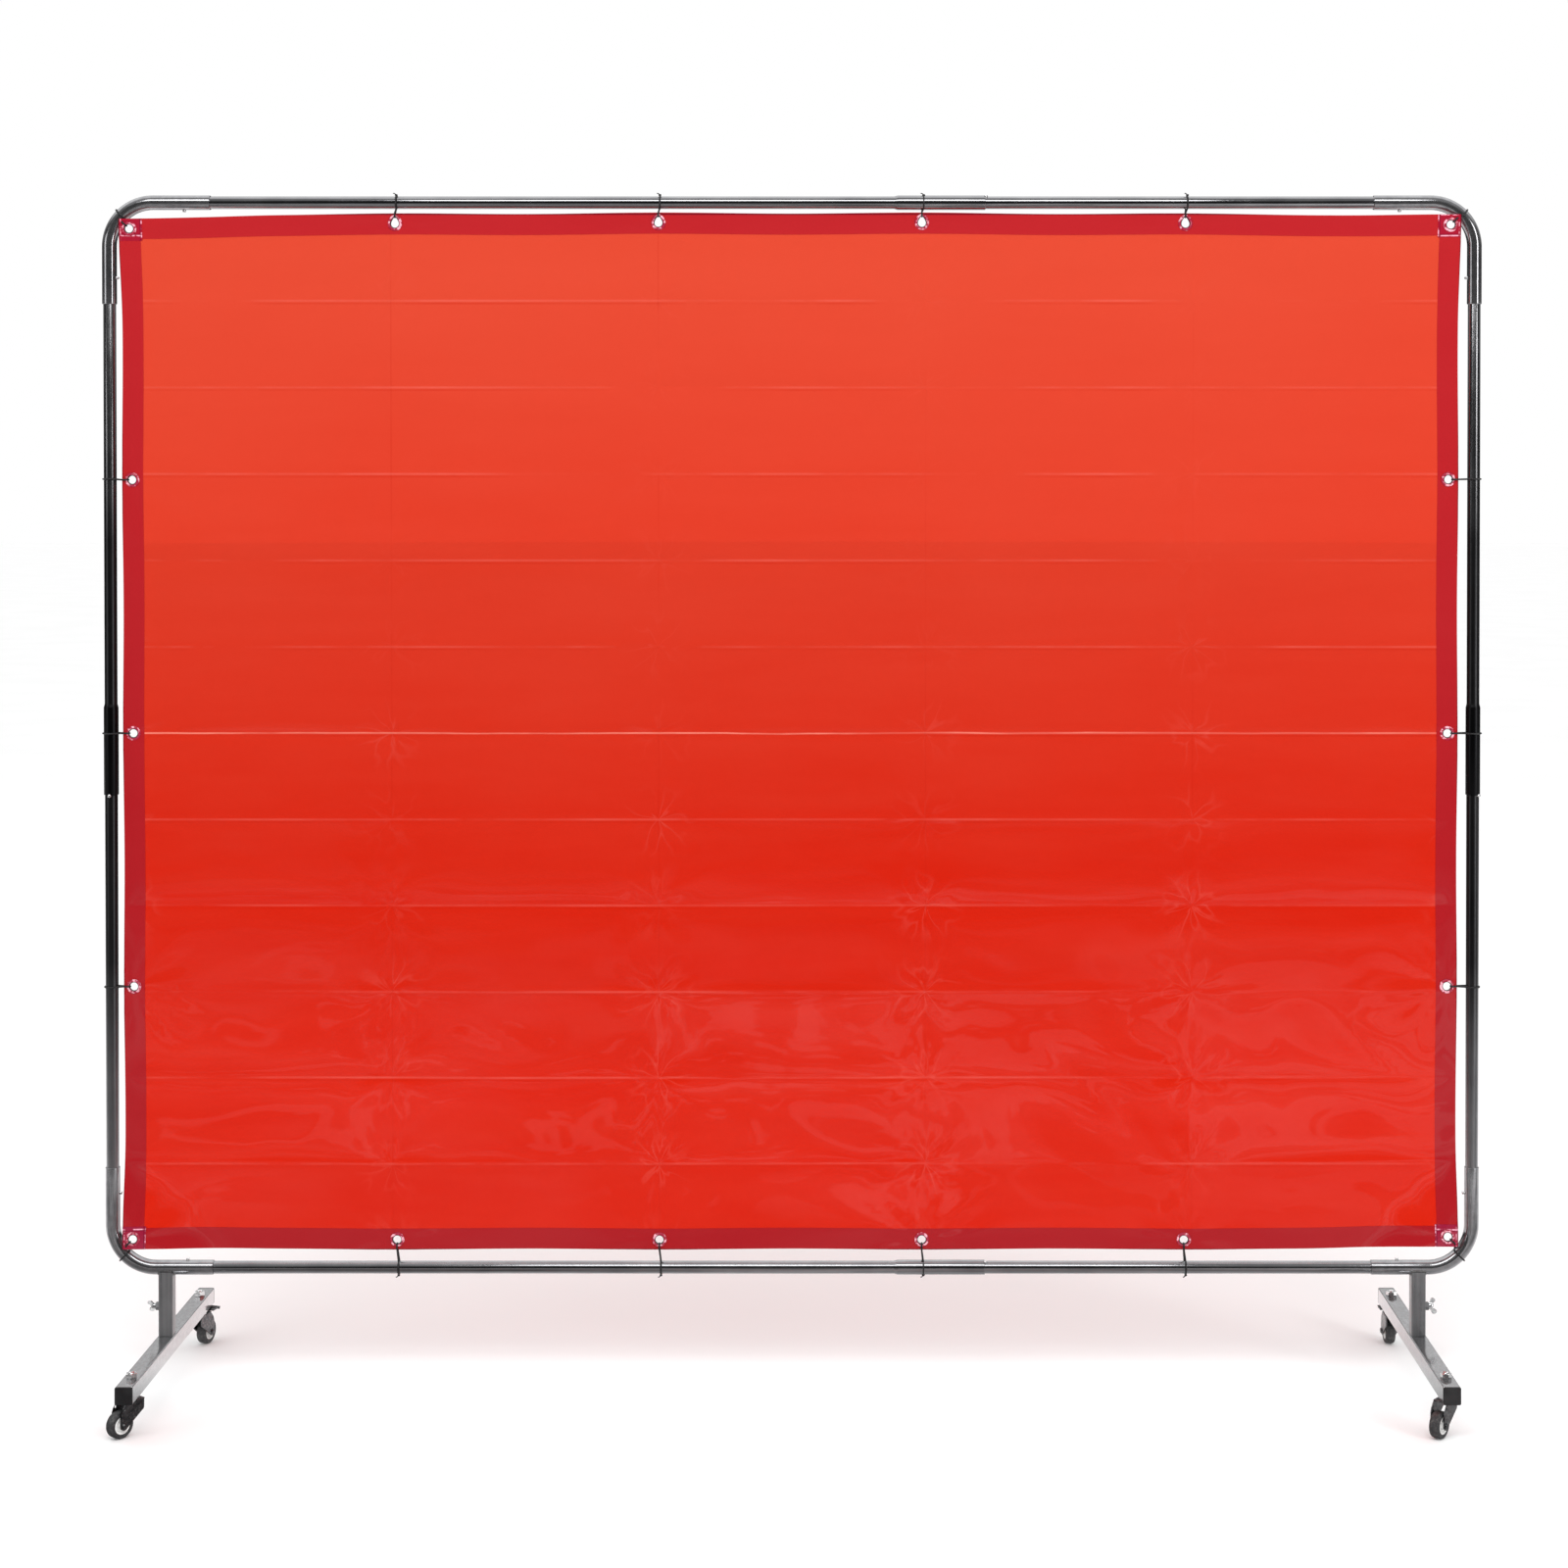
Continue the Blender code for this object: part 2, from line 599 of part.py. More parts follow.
def fork_mesh():
    """Crown plate, two legs and the riveted axle. Local X is the trail, Z the height above the floor."""
    crown_bottom = CROWN_TOP - CROWN_THICKNESS
    outer = LEG_INNER + LEG_THICKNESS
    crown = box(
        "crown",
        (CROWN_FRONT - CROWN_REAR, 2 * outer + 0.0004, CROWN_THICKNESS),
        ((CROWN_FRONT + CROWN_REAR) / 2, 0, CROWN_TOP - CROWN_THICKNESS / 2),
        0.0008,
    )
    leg_top = crown_bottom + LEG_INSET
    leg = [(CROWN_REAR + LEG_INSET, leg_top), (CROWN_REAR + LEG_INSET, LEG_KNEES[0])]
    leg += arc((TRAIL, WHEEL_RADIUS), BOSS_RADIUS, 215, 360, 8)
    leg += [(TRAIL + BOSS_RADIUS, LEG_KNEES[1]), (CROWN_FRONT - LEG_INSET, leg_top)]
    pin_hole = circle((TRAIL, PEDAL_PIVOT), PEDAL_PIN_RADIUS + GAP, 10)
    side = plate("leg", [leg, pin_hole], LEG_THICKNESS)
    upright = Matrix.Rotation(math.radians(90), 4, "X")
    head = outer + RIVET_HEIGHT
    seat = outer - RIVET_SEAT
    axle_profile = [(0, head), (RIVET_RADIUS - 0.001, head), (RIVET_RADIUS, head - 0.001)]
    axle_profile += [(RIVET_RADIUS, seat), (AXLE_RADIUS, seat)]
    axle_profile += [(r, -z) for r, z in axle_profile[::-1]]
    axle = turned("axle", axle_profile, 12)
    offset = LEG_INNER + LEG_THICKNESS / 2
    pin = cylinder("king_pin_hole", STEM_RADIUS + GAP, PEDAL_PIVOT, STEM_TOP)
    steps = [
        ("UNION", side, Matrix.Translation((0, offset, 0)) @ upright),
        ("UNION", side, Matrix.Translation((0, -offset, 0)) @ upright),
        ("UNION", axle, Matrix.Translation((TRAIL, 0, WHEEL_RADIUS)) @ upright),
        ("DIFFERENCE", pin, Matrix.Identity(4)),
    ]
    return combined("fork", crown, steps)


def hub_mesh():
    bore = AXLE_RADIUS + GAP
    half_rim = TYRE_WIDTH / 2 - 2 * GAP
    web = half_rim - WEB_RECESS
    outer = [(WEB_RADII[0], HUB_WIDTH / 2), (WEB_RADII[0], web), (WEB_RADII[1], web)]
    outer += [(WEB_RADII[1] + 0.001, half_rim), (HUB_RADIUS, half_rim)]
    lower = [(r, -z) for r, z in outer[::-1]]
    profile = [(bore, HUB_WIDTH / 2)] + outer + lower + [(bore, -HUB_WIDTH / 2)]
    return turned("hub", profile, 20, closed=True)


def tyre_mesh():
    """The tread's flats touch the floor, so its corners lie a little outside the wheel's radius."""
    corner = WHEEL_RADIUS / math.cos(math.pi / WHEEL_SIDES)
    half = TYRE_WIDTH / 2
    seat = (HUB_RADIUS + GAP) / math.cos(math.pi / WHEEL_SIDES)
    upper = [(seat, half - 0.0004), (corner - 0.0025, half), (corner, half - 0.003)]
    lower = [(r, -z) for r, z in upper[::-1]]
    return turned("tyre", upper + lower, WHEEL_SIDES, closed=True)


def pedal_mesh():
    """Brake pedal in the fork's frame: a foot plate over a cam on a pin through the fork's legs."""
    size = (PEDAL_LENGTH, PEDAL_WIDTH, PEDAL_THICKNESS)
    plate_box = box("foot_plate", size, (PEDAL_CENTRE[0], 0, PEDAL_CENTRE[1]), PEDAL_THICKNESS / 3)
    cam_bottom = 2 * WHEEL_RADIUS + 0.001
    cam_top = PEDAL_CENTRE[1] - PEDAL_THICKNESS / 9
    size = (CAM_LENGTH, CAM_WIDTH, cam_top - cam_bottom)
    cam = box("cam", size, (TRAIL, 0, (cam_top + cam_bottom) / 2))
    reach = LEG_INNER + LEG_THICKNESS - BURIED
    pin = cylinder("pin", PEDAL_PIN_RADIUS, -reach, reach, 10)
    across = Matrix.Rotation(math.radians(90), 4, "X")
    steps = [
        ("UNION", cam, Matrix.Identity(4)),
        ("UNION", pin, Matrix.Translation((TRAIL, 0, PEDAL_PIVOT)) @ across),
    ]
    return combined("pedal", plate_box, steps)


def build_casters(parts, materials):
    nut = plate("nut", [hexagon(NUT_ACROSS), circle((0, 0), STEM_RADIUS + GAP, 16)], NUT_THICKNESS)
    meshes = {
        "caster_stem": (stem_mesh(), "bright_steel"),
        "stem_nut": (nut, "bright_steel"),
        "caster_fork": (fork_mesh(), "zinc_plated"),
        "wheel_hub": (hub_mesh(), "pale_plastic"),
        "wheel_tyre": (tyre_mesh(), "black_rubber"),
        "brake_pedal": (pedal_mesh(), "zinc_plated"),
    }
    for mesh, finish in meshes.values():
        mesh.materials.append(materials[finish])
    on_side = Matrix.Rotation(math.radians(90), 4, "X")
    flat_down = Matrix.Rotation(math.pi / WHEEL_SIDES, 4, "Z")
    nut_z = BEAM_BOTTOM + BEAM_SIZE + GAP + NUT_THICKNESS / 2
    for name, caster in CASTERS.items():
        pivot = bpy.data.objects.new("pivot_" + name, None)
        parts.objects.link(pivot)
        pivot.location = (caster["x"], caster["y"], 0)
        pivot.rotation_euler = (0, 0, caster["heading"])
        base = Matrix.Translation((caster["x"], caster["y"], 0))
        add_object("caster_stem_" + name, meshes["caster_stem"][0], parts, base)
        add_object("stem_nut_" + name, nut, parts, base @ Matrix.Translation((0, 0, nut_z)))
        add_object("caster_fork_" + name, meshes["caster_fork"][0], parts, parent=pivot)
        axle = Matrix.Translation((TRAIL, 0, WHEEL_RADIUS)) @ on_side @ flat_down
        for piece in ("wheel_hub", "wheel_tyre"):
            add_object(f"{piece}_{name}", meshes[piece][0], parts, axle, pivot)
        if name in BRAKED:
            add_object("brake_pedal_" + name, meshes["brake_pedal"][0], parts, parent=pivot)


def main():
    clear_scene()
    parts = make_collection("welding_curtain_screen")
    cutters = make_collection("cutters")
    materials = {name: make_material(name, finish) for name, finish in FINISHES.items()}
    Frame(parts, cutters, materials).build()
    build_curtain(parts, materials)
    build_feet(parts, cutters, materials)
    build_casters(parts, materials)


main()
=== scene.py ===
import math

import bmesh
import bpy
from mathutils import Matrix, Vector, noise


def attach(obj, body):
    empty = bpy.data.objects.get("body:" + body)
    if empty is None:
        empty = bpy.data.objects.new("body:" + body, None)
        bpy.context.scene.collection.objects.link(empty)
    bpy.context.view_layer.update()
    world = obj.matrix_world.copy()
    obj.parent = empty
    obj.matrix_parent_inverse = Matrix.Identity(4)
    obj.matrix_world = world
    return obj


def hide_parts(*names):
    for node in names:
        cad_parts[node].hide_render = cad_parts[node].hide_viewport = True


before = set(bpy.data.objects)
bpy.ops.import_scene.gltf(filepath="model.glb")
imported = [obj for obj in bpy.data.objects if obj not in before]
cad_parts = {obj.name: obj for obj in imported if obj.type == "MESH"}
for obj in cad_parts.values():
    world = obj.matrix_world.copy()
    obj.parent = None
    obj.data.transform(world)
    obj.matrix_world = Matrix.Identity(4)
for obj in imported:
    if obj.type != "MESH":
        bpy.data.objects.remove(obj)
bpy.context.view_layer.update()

# Looks for the welding curtain screen. Metres, +Z up, front at -Y.

# Frame and tubes, the CAD model's own sizes.
HALF_WIDTH = 1.200
FRAME_BOTTOM = 0.2145
FRAME_TOP = 2.093
TUBE = 0.011
SOCKET = 0.0127
WALL = 0.0012
SOCKET_DEPTH = 0.154
SOCKET_TAPER = 0.006
BEND = 0.077
CORNER_LEG = 0.178
TUBE_END = 0.080
SIDE_SOCKET_END = 1.051
BAR_SOCKET_END = 0.340
BUTTON = 0.003
BUTTON_BASE = 0.007
BUTTON_RISE = 0.0045
CORNER_BUTTON = 0.132

# Curtain.
SHEET_HALF = 1.176
SHEET_BOTTOM = 0.246
SHEET_TOP = 2.073
PANELS_ACROSS = 5
PANELS_UP = 12
HEM = 0.037
SHEET_MIDDLE = (SHEET_TOP + SHEET_BOTTOM) / 2
EYELETS_ACROSS = 6
EYELETS_UP = 5
EYELET_INSET = 0.018
HOLE = 0.0084
HOLE_CELL = 0.0156
PATCH = 0.040
SHEET_SHIFT = -0.003
FILM = 0.0004
HEM_THICKNESS = 0.0013
PATCH_THICKNESS = 0.0021
TIP_BEND = 0.0165
TIP_REACH = 0.140
TOP_BOW = 0.0042
TOP_SAG = 0.0012
SLACK_TOP = 0.0022
SLACK_BOTTOM = 0.0018
SLACK_SIDE = 0.0018
CORNER_SPAN = 0.28
CORNER_DROP = {"left": 0.0087, "right": 0.001}
CORNER_RISE = {"left": 0.0050, "right": 0.0098}
RING_INNER = 0.0070
RING_OUTER = 0.0126
RING_THICKNESS = 0.0028
CORD = 0.0015

# Feet and casters.
FOOT_X = 1.105
BEAM_BOTTOM = 0.065
BEAM_SIZE = 0.030
FOOT_END = 0.280
STEM_Y = 0.230
TRAIL = 0.024
WHEEL = 0.0225
SCREW_HEIGHT = 0.146
PIN_HEIGHT = 0.050
POST_HALF = 0.0125
STUB_HALF = 0.010
STUB_TOP = 0.1803
BEAM_WALL = 0.0015
STEM_BORE = 0.0053
NUT_MIDDLE = 0.0993
SQUARE_CORNER = 0.0025

SIDES = {"left": -1, "right": 1}
HERE = Matrix.Identity(4)
# How far each caster is turned about Z, in degrees.
HEADINGS = {"front_left": 231.5, "front_right": 231.5, "rear_left": 75, "rear_right": 90}


# ---- materials ----


def make(tree, kind, inputs, **settings):
    """A new node. An input is linked to a field or a socket, or else set to a plain value."""
    made = tree.nodes.new("ShaderNode" + kind)
    for key, value in settings.items():
        setattr(made, key, value)
    for key, value in inputs.items():
        value = getattr(value, "socket", value)
        if isinstance(value, bpy.types.NodeSocket):
            tree.links.new(value, made.inputs[key])
        else:
            made.inputs[key].default_value = value
    return made


class Field:
    """A value that varies over a surface: a node's output, with arithmetic on it."""

    def __init__(self, tree, socket):
        self.tree = tree
        self.socket = socket

    def math(self, operation, other=0.0):
        made = make(self.tree, "Math", {0: self, 1: other}, operation=operation)
        return Field(self.tree, made.outputs[0])

    def __add__(self, other):
        return self.math("ADD", other)

    def __sub__(self, other):
        return self.math("SUBTRACT", other)

    def __mul__(self, other):
        return self.math("MULTIPLY", other)

    def __truediv__(self, other):
        return self.math("DIVIDE", other)

    def __abs__(self):
        return self.math("ABSOLUTE")

    def most(self, other):
        """The greater of this and the other."""
        return self.math("MAXIMUM", other)

    def ranged(self, low, high, start=0.35, end=0.65):
        """Maps start..end to low..high."""
        inputs = {"Value": self, "From Min": start, "From Max": end, "To Min": low, "To Max": high}
        return Field(self.tree, make(self.tree, "MapRange", inputs).outputs[0])

    def rise(self, start=0.35, end=0.65):
        """0 below start and 1 above end."""
        return self.ranged(0.0, 1.0, start, end)

    def fall(self, start, end):
        """1 below start and 0 above end."""
        return self.ranged(1.0, 0.0, start, end)


class Look:
    """A Principled material with helpers for the patterns that vary it."""

    def __init__(self, name, colour, metallic=0.0, roughness=0.4):
        self.material = bpy.data.materials.new(name)
        self.material.use_nodes = True
        self.tree = self.material.node_tree
        self.shader = self.tree.nodes["Principled BSDF"]
        self.set_all({"Base Color": (*colour, 1.0), "Metallic": metallic, "Roughness": roughness})
        self.place = make(self.tree, "TexCoord", {}).outputs["Object"]

    def set_all(self, sockets):
        for socket, value in sockets.items():
            self.shader.inputs[socket].default_value = value

    def pattern(self, kind, output, inputs, **settings):
        return Field(self.tree, make(self.tree, kind, inputs, **settings).outputs[output])

    def along(self, axis):
        """The place's own coordinate on one axis."""
        return self.pattern("SeparateXYZ", axis, {"Vector": self.place})

    def stretched(self, scale):
        return self.pattern("Mapping", 0, {"Vector": self.place, "Scale": scale})

    def grain(self, scale, detail=4.0, stretch=(1, 1, 1), roughness=0.55, distortion=0.0):
        """A noise pattern from 0 to 1."""
        inputs = {"Vector": self.stretched(stretch), "Scale": scale, "Detail": detail}
        inputs["Roughness"] = roughness
        inputs["Distortion"] = distortion
        return self.pattern("TexNoise", "Fac", inputs)

    def blended(self, factor, first, second):
        """Colour first at factor 0, and second at 1."""
        first, second = [c if isinstance(c, Field) else (*c, 1.0) for c in (first, second)]
        return self.pattern("Mix", 2, {0: factor, 6: first, 7: second}, data_type="RGBA")

    def feed(self, socket, value):
        self.tree.links.new(value.socket, self.shader.inputs[socket])

    def paint(self, factor, first, second):
        self.feed("Base Color", self.blended(factor, first, second))

    def relief(self, height, distance, strength=1.0):
        inputs = {"Height": height, "Distance": distance, "Strength": strength}
        self.feed("Normal", self.pattern("Bump", 0, inputs))


TUBE_DARK, TUBE_LIGHT = (0.24, 0.24, 0.25), (0.34, 0.34, 0.35)


def drawn(look, stretch):
    """Draw lines, and the same lines with clouds of tarnish, from 0 to 2."""
    lines = look.grain(1.0, 3.0, stretch)
    return lines, lines + look.grain(14.0, 5.0, roughness=0.6)


def steel(name, dark, light, stretch, gloss=(0.09, 0.15), bump=0.000004, metal=1.0):
    """Bare steel with draw lines along one axis, cloudy tarnish and small specks."""
    look = Look(name, light, metallic=metal, roughness=0.27)
    lines, tarnish = drawn(look, stretch)
    specks = look.grain(420.0, 2.0).rise(0.66, 0.74)
    base = look.blended(tarnish.rise(0.75, 1.25), dark, light)
    look.paint(specks * 0.35, base, (0.05, 0.05, 0.05))
    look.feed("Roughness", tarnish.ranged(gloss[0], gloss[1], 0.7, 1.3))
    look.relief(lines, bump)
    return look.material


def side_steel():
    """The sides' tubes, with painted dark reflection: nearly black at mid height, darkest on the widened
    sockets.
    """
    look = Look("tube_steel_side", (0.4, 0.4, 0.41), metallic=1.0, roughness=0.26)
    lines, tarnish = drawn(look, (260, 260, 5))
    height = look.along("Z")
    upper = height.ranged(0.05, 1.0, 1.50, 1.86)
    lower = height.ranged(1.0, 0.04, 0.36, 0.76)
    base = look.blended(tarnish.rise(0.75, 1.25), TUBE_DARK, TUBE_LIGHT)
    # Painted reflection: nearly black between about 0.76 m and 1.50 m high, where the tubes mirror dark
    # surroundings.
    base = look.blended(upper.most(lower), (0.020, 0.020, 0.021), base)
    # Painted reflection: the widened sockets are painted darker still.
    below = height.rise(SIDE_SOCKET_END - 0.002, SIDE_SOCKET_END)
    above = height.fall(SIDE_SOCKET_END + SOCKET_DEPTH, SIDE_SOCKET_END + 0.160)
    look.paint(below * above * 0.85, base, (0.010, 0.010, 0.011))
    gloss = tarnish.ranged(0.13, 0.20, 0.7, 1.3)
    dull = height.ranged(0.20, 0.0, 0.5, 0.9).most(height.ranged(0.16, 0.0, 1.45, 1.75))
    look.feed("Roughness", gloss + dull)
    look.relief(lines, 0.000006)
    return look.material


def beam_zinc():
    """Glossy plated steel of the feet, with faint spangle and handling marks."""
    look = Look("beam_zinc", (0.55, 0.55, 0.56), metallic=0.9, roughness=0.2)
    inputs = {"Vector": look.stretched((1, 0.5, 1)), "Scale": 190.0}
    cells = look.pattern("TexVoronoi", "Distance", inputs, feature="SMOOTH_F1")
    clouds = look.grain(18.0, 5.0, roughness=0.6)
    tone = (cells + clouds).rise(0.6, 1.3)
    look.paint(tone, (0.44, 0.44, 0.45), (0.54, 0.54, 0.55))
    look.feed("Roughness", clouds.ranged(0.09, 0.16))
    look.relief(look.grain(120.0, 4.0, (1, 0.1, 1)), 0.00001)
    return look.material


def bright_metal():
    look = Look("bright_zinc", (0.8, 0.8, 0.81), metallic=1.0, roughness=0.16)
    clouds = look.grain(60.0, 4.0)
    look.paint(clouds.rise(), (0.66, 0.66, 0.67), (0.88, 0.88, 0.88))
    look.feed("Roughness", look.grain(150.0, 3.0).ranged(0.10, 0.26))
    look.relief(look.grain(500.0, 2.0), 0.00002)
    return look.material


def fork_metal():
    """Pressed, plated steel of the forks, greyer and duller than the nuts."""
    look = Look("fork_zinc", (0.4, 0.4, 0.41), metallic=1.0, roughness=0.3)
    clouds = look.grain(70.0, 5.0, roughness=0.65)
    wear = look.grain(260.0, 3.0).rise(0.5, 0.75)
    base = look.blended(clouds.rise(), (0.055, 0.055, 0.06), (0.13, 0.13, 0.135))
    look.paint(wear * 0.4, base, (0.5, 0.5, 0.5))
    look.feed("Roughness", clouds.ranged(0.22, 0.42))
    look.relief(look.grain(300.0, 3.0), 0.00004)
    return look.material


def plastic(name, colour, light, gloss, size, bump):
    """Moulded plastic or rubber with a fine grain and slightly uneven gloss."""
    look = Look(name, colour, roughness=gloss)
    clouds = look.grain(45.0, 4.0)
    look.paint(clouds.rise(), colour, light)
    look.feed("Roughness", look.grain(size / 4, 4.0).ranged(gloss - 0.06, gloss + 0.1))
    look.relief(look.grain(size, 3.0), bump)
    return look.material


def tyre_rubber():
    look = Look("tyre_rubber", (0.03, 0.03, 0.032), roughness=0.55)
    scuffs = look.grain(220.0, 5.0, roughness=0.7).rise(0.48, 0.72)
    look.paint(scuffs, (0.022, 0.022, 0.024), (0.085, 0.083, 0.08))
    look.feed("Roughness", look.grain(150.0, 4.0).ranged(0.42, 0.68))
    look.relief(look.grain(1400.0, 3.0), 0.00006)
    return look.material


def fold_lines(look, axis, start, pitch, width):
    """Thin lines at every pitch along one axis, broken up by noise."""
    share = (look.along(axis) - start) / pitch
    line = abs(share.math("FRACT") - 0.5).rise(0.5 - width / pitch, 0.5 - 0.2 * width / pitch)
    broken = look.grain(2.3, 6.0, roughness=0.62, distortion=0.3).rise(0.42, 0.66)
    return line * broken


def crossing_creases(look, wide, high):
    """Crumples that fan out unevenly from where two fold lines cross: height, and pale lines, partly crease
    whitening and partly painted highlight.
    """
    offsets, seeds = [], []
    for axis, start, pitch, step in (("X", -SHEET_HALF, wide, 3.7), ("Z", SHEET_BOTTOM, high, 5.3)):
        share = (look.along(axis) - start) / pitch + 0.5
        number = share.math("FLOOR")
        offsets.append((share - number - 0.5) * pitch)
        seeds.append(number * step)
    both = look.pattern("CombineXYZ", 0, {"X": offsets[0], "Z": offsets[1]})
    away = look.pattern("VectorMath", "Value", {0: both}, operation="LENGTH")
    heading = look.pattern("VectorMath", "Vector", {0: both}, operation="NORMALIZE")
    heading = look.pattern("VectorMath", "Vector", {0: heading, "Scale": 1.35}, operation="SCALE")
    travel = look.pattern("CombineXYZ", 0, {"Y": seeds[0] + seeds[1] + away * 13.0})
    spot = look.pattern("VectorMath", "Vector", {0: heading, 1: travel}, operation="ADD")
    inputs = {"Vector": spot, "Scale": 1.0, "Detail": 1.4, "Roughness": 0.5}
    centred = look.pattern("TexNoise", "Fac", inputs) - 0.5
    chosen = look.grain(3.3, 2.0).ranged(0.25, 1.0, 0.42, 0.58)
    reach = away.fall(0.012, 0.072) * chosen
    return centred * reach, abs(centred).fall(0.004, 0.040) * reach


def border(look, inset, width):
    """A thin line that runs round the sheet at one distance from its edge."""
    half = (SHEET_TOP - SHEET_BOTTOM) / 2
    lines = []
    for axis, centre, reach in (("X", SHEET_SHIFT, SHEET_HALF), ("Z", SHEET_MIDDLE, half)):
        near = abs(abs(look.along(axis) - centre) - (reach - inset))
        lines.append(near.fall(width * 0.3, width))
    return lines[0].most(lines[1])


def vinyl(name, top, bottom, see_through, part):
    """Tinted clear vinyl with painted light: paler towards the top and deeper red towards the floor; along
    its folds, pale lines that are partly whitening and partly painted highlight, and dark lines of painted
    shade; unevenly glossy.
    """
    look = Look(name, top, roughness=0.24)
    sockets = {"IOR": 1.0, "Transmission Weight": see_through}
    sockets.update({"Coat Weight": 0.45, "Coat IOR": 1.55, "Coat Roughness": 0.022})
    look.set_all(sockets)
    height = look.along("Z")
    # Painted light: the colour runs from the bottom colour up to the paler top colour, as light from above
    # would make it.
    level = height + look.grain(1.7, 4.0, roughness=0.5) * 0.35
    colour = look.blended(level.rise(1.05, 2.15), bottom, top)
    bands = look.grain(1.0, 5.0, (2.2, 2.2, 16.0), roughness=0.6, distortion=0.25)
    lighter = [min(1.0, c * 1.12 + 0.012) for c in top]
    colour = look.blended(bands.ranged(0.0, 0.10, 0.35, 0.75), colour, lighter)
    if part == "sheet":
        wide, high = 2 * SHEET_HALF / PANELS_ACROSS, (SHEET_TOP - SHEET_BOTTOM) / PANELS_UP
        across = fold_lines(look, "Z", SHEET_BOTTOM, high, 0.0028)
        under = fold_lines(look, "Z", SHEET_BOTTOM - 0.0048, high, 0.0022)
        up = fold_lines(look, "X", -SHEET_HALF, wide, 0.0016)
        pale = [min(1.0, c * 1.1 + 0.09) for c in top]
        deep = [c * 0.80 for c in bottom]
        # Painted shade: dark lines just below each horizontal fold and along the vertical folds.
        colour = look.blended(under * 0.40, colour, deep)
        colour = look.blended(up * 0.35, colour, deep)
        # Pale lines on the horizontal folds: partly crease whitening, partly painted highlight.
        colour = look.blended(across * 0.42, colour, pale)
        crumple, stars = crossing_creases(look, wide, high)
        # Pale crease lines round the crossings: partly crease whitening, partly painted highlight.
        colour = look.blended(stars * height.ranged(0.20, 0.04, 1.0, 1.6), colour, pale)
        # Painted highlight: a bright, broken line along the middle fold.
        main_fold = SHEET_BOTTOM + PANELS_UP // 2 * high + 0.005
        near = abs(height + look.grain(3.0, 3.0) * 0.010 - main_fold)
        broken = look.grain(4.0, 4.0).ranged(0.25, 1.0, 0.42, 0.58)
        colour = look.blended(near.ranged(0.8, 0.0, 0.0003, 0.0020) * broken, colour, (0.90, 0.30, 0.22))
    else:
        # Painted shade: a dark line along the outer edge of the hem and of the patches.
        colour = look.blended(border(look, 0.0, 0.0022) * 0.8, colour, (0.10, 0.003, 0.010))
    if part == "patch":
        # Painted highlight: broken pale glints along the patch's weld edges.
        glints = look.grain(120.0, 3.0).rise(0.46, 0.58)
        weld_highlights = border(look, PATCH - 0.0008, 0.0016).most(border(look, 0.0032, 0.0010))
        colour = look.blended(weld_highlights * glints, colour, (0.80, 0.36, 0.46))
        # Painted shade: a dark line where the patch's groove would fall.
        groove_shade = border(look, PATCH - 0.0030, 0.0012) * 0.7
        colour = look.blended(groove_shade, colour, (0.12, 0.004, 0.020))
    look.feed("Base Color", colour)
    look.feed("Roughness", look.grain(9.0, 5.0, roughness=0.65).ranged(0.02, 0.08))
    wrinkles = look.grain(5.0, 5.0, roughness=0.56, distortion=0.7)
    fine = look.grain(42.0, 3.0, roughness=0.5, distortion=0.4)
    shape = wrinkles + fine * 0.05
    if part == "sheet":
        shape = shape * height.ranged(2.6, 1.0, 0.35, 1.0) + crumple * 1.25
    look.relief(shape, 0.0022, 0.35)
    return look.material


def eyelet_plastic(name, colour, light, see_through):
    """Moulded rings, tinted by the vinyl that is welded into them, with broken pale glints."""
    look = Look(name, colour, roughness=0.1)
    sockets = {"IOR": 1.46, "Transmission Weight": see_through}
    sockets.update({"Coat Weight": 0.6, "Coat Roughness": 0.05})
    look.set_all(sockets)
    # Painted highlight: broken pale glints in the base colour.
    look.paint(look.grain(150.0, 3.0).rise(0.50, 0.60), colour, light)
    look.feed("Roughness", look.grain(160.0, 3.0).ranged(0.08, 0.2))
    look.relief(look.grain(420.0, 2.0), 0.00008)
    return look.material


